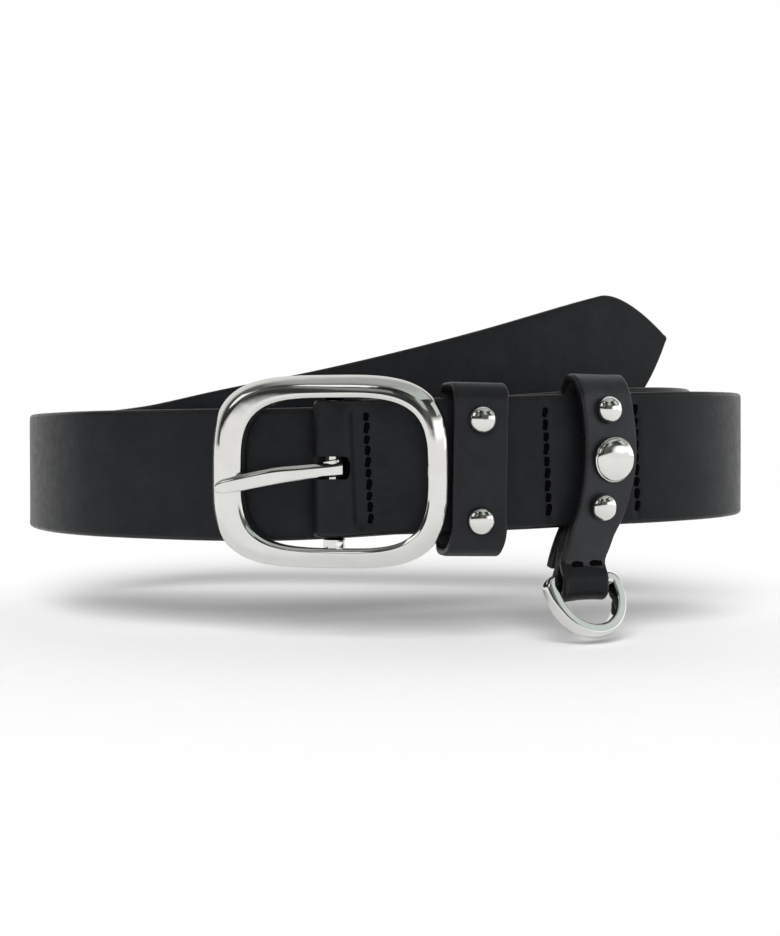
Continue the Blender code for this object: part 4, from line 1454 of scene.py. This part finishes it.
def turned_stud(name, dome, shank, sides):
    """A domed stud, extruded ring by ring from its crown to the foot behind the leather."""
    clear_selection()
    bpy.ops.mesh.primitive_circle_add(vertices=sides, radius=dome[1][0] * MM, fill_type="NGON")
    stud = fresh(name)
    bpy.ops.object.mode_set(mode="EDIT")
    bpy.ops.mesh.select_all(action="SELECT")
    bpy.ops.transform.translate(value=(0.0, 0.0, dome[1][1] * MM))
    radius, height = dome[1]
    for next_radius, next_height in (*dome[2:], *shank):
        bpy.ops.mesh.extrude_region_move(
            TRANSFORM_OT_translate={"value": (0.0, 0.0, (next_height - height) * MM)}
        )
        share = next_radius / radius
        bpy.ops.transform.resize(value=(share, share, 1.0), center_override=(0.0, 0.0, 0.0))
        radius, height = next_radius, next_height
    return mended(stud)


def set_on(stud, point, outward, up, lean):
    """Seats a stud at `point` with its axis along `outward`, leaned up by some degrees."""
    tilt = math.radians(lean)
    outward = outward * math.cos(tilt) + up * math.sin(tilt)
    across = unit(np.cross(up, outward))
    upward = np.cross(outward, across)
    turn = Matrix([[float(axis[i]) for axis in (across, upward, outward)] for i in range(3)])
    stud.data.transform(Matrix.Translation([float(v) * MM for v in point]) @ turn.to_4x4())
    return stud


class BELT_OT_studs(bpy.types.Operator):
    """Sets the domed rivets and the cap"""

    bl_idname = "belt.studs"
    bl_label = "Studs"

    def execute(self, context):
        front = front_curve()
        sides = context.scene.belt_metal.stud_sides
        rivet = turned_stud("rivet_pattern", dome_outline(*RIVET_SIZE), RIVET_POST, sides)
        cap = turned_stud("cap_pattern", dome_outline(*CAP_SIZE, CAP_LIP), CAP_POST, sides)
        _, _, up, outward = keeper_axes(front)
        places = []
        for name, seat in zip(("top", "bottom"), keeper_seats(front)):
            places.append((f"keeper_rivet_{name}", seat + outward * GAP, outward, up))
        for name, seat, outward, up, _ in hanger_seats(front):
            places.append((name, seat + outward * STUD_GAP, outward, up))
        for node, seat, outward, up in places:
            lean = STUD_LEAN[node]
            pattern = cap if node == "hanger_cap" else rivet
            stud = pattern.copy()
            stud.data = pattern.data.copy()
            context.collection.objects.link(stud)
            stud.name = node + "_nickel"
            stud.data.name = stud.name
            set_on(stud, seat, outward, up, lean)
            ripple = CAP_RIPPLE if pattern is cap else RIVET_RIPPLE
            give(stud, nickel_for(node, factor=0.8, ripple=ripple))
            dressed(stud, "leather", node, STUD_CREASE)
        bpy.data.objects.remove(rivet, do_unlink=True)
        bpy.data.objects.remove(cap, do_unlink=True)
        return {"FINISHED"}


# Stage


# Camera: its place in metres, and its focal length and the horizon's height over the
# picture's middle in pixels of a picture 936 pixels high.
CAMERA_PLACE = (0.005, -0.360, 0.024)
SENSOR_SIZE = 36.0
PICTURE_HEIGHT = 936.0
FOCAL_PIXELS = 1146.0
HORIZON_ABOVE_MIDDLE = 17.5
LIGHT_SPREAD = math.radians(45.0)
LIGHT_TURN = (math.radians(54.0), 0.0, math.radians(-6.0))


def softbox_light(name, strength):
    """Even light from a wide panel in front of the belt and above it, for floor and leather."""
    light = bpy.data.lights.new(name, "SUN")
    light.energy = strength
    light.angle = LIGHT_SPREAD
    lamp = bpy.data.objects.new(name, light)
    bpy.context.scene.collection.objects.link(lamp)
    lamp.location = (0.0, -0.1, 0.6)
    lamp.rotation_euler = LIGHT_TURN
    lamp.visible_glossy = False
    return lamp


class Room(Wiring):
    """The studio that the metal mirrors, painted by direction."""

    def __init__(self, world):
        world.use_nodes = True
        super().__init__(world.node_tree)
        self.nodes.clear()
        self.direction = self.add("ShaderNodeTexCoord").outputs["Generated"]
        self.x, self.y, self.z = self.add("ShaderNodeSeparateXYZ", {0: self.direction}).outputs
        self.look = None

    def step(self, value, start, end):
        """Runs smoothly from 0 to 1 as the value runs from start to end."""
        sockets = {"From Min": start, "From Max": end, "Value": value}
        node = self.add("ShaderNodeMapRange", sockets, interpolation_type="SMOOTHSTEP")
        return node.outputs["Result"]

    def both(self, first, second):
        return self.add("ShaderNodeMath", {0: first, 1: second}, operation="MULTIPLY").outputs[0]

    def towards(self, axis):
        """How far the direction seen points along an axis."""
        sockets = {0: self.direction, 1: [float(v) for v in axis]}
        node = self.add("ShaderNodeVectorMath", sockets, operation="DOT_PRODUCT")
        return node.outputs["Value"]

    def paint(self, share, colour):
        """Lays a colour over the room where the share is 1."""
        node = self.add("ShaderNodeMix", {"Factor": share}, data_type="RGBA")
        under, over = (
            next(s for s in node.inputs if s.name == name and s.type == "RGBA") for name in "AB"
        )
        self.put(under, self.look)
        self.put(over, (*colour, 1.0))
        self.look = next(s for s in node.outputs if s.type == "RGBA")

    def window(self, azimuth, elevation, half_wide, half_high, soft=0.03):
        """A bright rectangle seen in one direction from the belt."""
        azimuth = math.radians(azimuth)
        elevation = math.radians(elevation)
        flat = math.cos(elevation)
        ahead = (flat * math.sin(azimuth), -flat * math.cos(azimuth), math.sin(elevation))
        right = (math.cos(azimuth), math.sin(azimuth), 0.0)
        shares = []
        for axis, half in ((right, half_wide), (np.cross(right, ahead), half_high)):
            away = self.add("ShaderNodeMath", {0: self.towards(axis)}, operation="ABSOLUTE")
            shares.append(self.step(away.outputs[0], half + soft, half))
        return self.both(self.both(*shares), self.step(self.towards(ahead), 0.0, 0.1))


# Dim patches of the studio's walls, from dark to light.
WALLS = (
    (0.36, (0.025, 0.026, 0.026)), (0.47, (0.055, 0.062, 0.060)),
    (0.56, (0.115, 0.095, 0.088)), (0.66, (0.13, 0.165, 0.15)),
)
# Soft windows of the studio: azimuth, elevation, half width, half height, colour.
WINDOWS = (
    (57.0, 66.0, 0.34, 0.22, (0.58, 0.63, 0.60)),
    (83.0, 35.0, 0.16, 0.15, (0.72, 0.79, 0.76)),
    (-68.0, 36.0, 0.20, 0.16, (1.20, 1.20, 1.18)),
    (-22.0, 34.0, 0.09, 0.15, (0.30, 0.31, 0.30)),
    (28.0, 40.0, 0.13, 0.14, (0.52, 0.58, 0.55)),
    (-32.0, 57.0, 0.06, 0.07, (1.30, 1.30, 1.28)),
)
CEILING_COLOUR = (0.47, 0.49, 0.47)
BACK_WALL_COLOUR = (0.88, 0.88, 0.87)
SIDE_PANEL_COLOUR = (1.6, 1.6, 1.59)
TABLE_COLOUR = (1.0, 0.995, 0.985)


def studio_world(scene):
    world = bpy.data.worlds.new("studio")
    scene.world = world
    room = Room(world)
    blotches = room.add(
        "ShaderNodeTexNoise", {"Vector": room.direction, "Scale": 1.6, "Detail": 1.5}
    )
    room.look = room.colours(blotches.outputs["Fac"], WALLS)
    for *place, colour in WINDOWS:
        room.paint(room.window(*place), colour)
    room.paint(room.step(room.z, 0.86, 0.985), CEILING_COLOUR)
    room.paint(room.step(room.y, 0.05, 0.40), BACK_WALL_COLOUR)
    beside = room.both(room.step(room.x, 0.55, 0.80), room.step(room.z, 0.45, 0.30))
    room.paint(beside, SIDE_PANEL_COLOUR)
    ahead = room.both(room.step(room.z, 0.20, 0.07), room.step(room.y, -0.06, -0.2))
    room.paint(ahead, TABLE_COLOUR)
    room.paint(room.step(room.z, 0.05, 0.02), TABLE_COLOUR)
    room.paint(room.add("ShaderNodeLightPath").outputs["Is Camera Ray"], (1.0, 1.0, 1.0))
    light = room.add("ShaderNodeBackground", {"Color": room.look})
    room.add("ShaderNodeOutputWorld", {"Surface": light.outputs[0]})


class BELT_OT_stage(bpy.types.Operator):
    """Sets the pale floor, the soft lights and the camera"""

    bl_idname = "belt.stage"
    bl_label = "Floor, lights and camera"

    def execute(self, context):
        scene = context.scene
        looks = scene.belt_stage
        clear_selection()
        bpy.ops.mesh.primitive_plane_add(size=4.0, location=(0.0, 0.0, looks.floor_height))
        floor = fresh("floor")
        bpy.ops.object.transform_apply(location=True, rotation=True, scale=True)
        recipe = Recipe("pale_floor")
        speckle = recipe.tones(recipe.noise(4.0, 2.0), looks.floor_colour, 0.995, 1.005)
        recipe.feed(Base_Color=speckle, Roughness=0.9, Specular_IOR_Level=0.1)
        give(floor, recipe.material)
        studio_world(scene)
        softbox_light("front_softbox", looks.light)
        lens = bpy.data.cameras.new("camera")
        lens.sensor_width = SENSOR_SIZE
        lens.lens = SENSOR_SIZE * FOCAL_PIXELS / PICTURE_HEIGHT
        lens.shift_y = -HORIZON_ABOVE_MIDDLE / PICTURE_HEIGHT
        lens.clip_start = 0.01
        camera = bpy.data.objects.new("camera", lens)
        scene.collection.objects.link(camera)
        camera.location = CAMERA_PLACE
        camera.rotation_euler = (math.radians(90.0), 0.0, 0.0)
        scene.camera = camera
        scene.view_settings.view_transform = "Standard"
        return {"FINISHED"}


# Panel


PIECES = (
    BELT_OT_strap, BELT_OT_keeper, BELT_OT_hanger, BELT_OT_buckle, BELT_OT_prong,
    BELT_OT_ring, BELT_OT_studs, BELT_OT_stitches, BELT_OT_stage,
)


class BELT_PT_panel(bpy.types.Panel):
    """Lists the belt's pieces"""

    bl_label = "Studded leather belt"
    bl_idname = "BELT_PT_panel"
    bl_space_type = "VIEW_3D"
    bl_region_type = "UI"
    bl_category = "Belt"

    def draw(self, context):
        for setting, _ in SETTINGS:
            group = getattr(context.scene, setting)
            column = self.layout.column(align=True)
            for name in group.bl_rna.properties.keys():
                if name not in ("rna_type", "name"):
                    column.prop(group, name)
        for piece in PIECES:
            self.layout.operator(piece.bl_idname)


SETTINGS = (
    ("belt_leather", LeatherSettings), ("belt_metal", MetalSettings),
    ("belt_thread", ThreadSettings), ("belt_stage", StageSettings),
)


def register():
    for name, group in SETTINGS:
        bpy.utils.register_class(group)
        setattr(bpy.types.Scene, name, PointerProperty(type=group))
    for piece in (*PIECES, BELT_PT_panel):
        bpy.utils.register_class(piece)


def unregister():
    for piece in (*PIECES, BELT_PT_panel):
        bpy.utils.unregister_class(piece)
    for name, group in SETTINGS:
        delattr(bpy.types.Scene, name)
        bpy.utils.unregister_class(group)


def main():
    register()
    bpy.ops.belt.strap()
    bpy.ops.belt.keeper()
    bpy.ops.belt.hanger()
    bpy.ops.belt.buckle()
    bpy.ops.belt.prong()
    bpy.ops.belt.ring()
    bpy.ops.belt.studs()
    bpy.ops.belt.stitches()
    bpy.ops.belt.stage()
    bpy.context.view_layer.update()


if __name__ == "__main__":
    main()
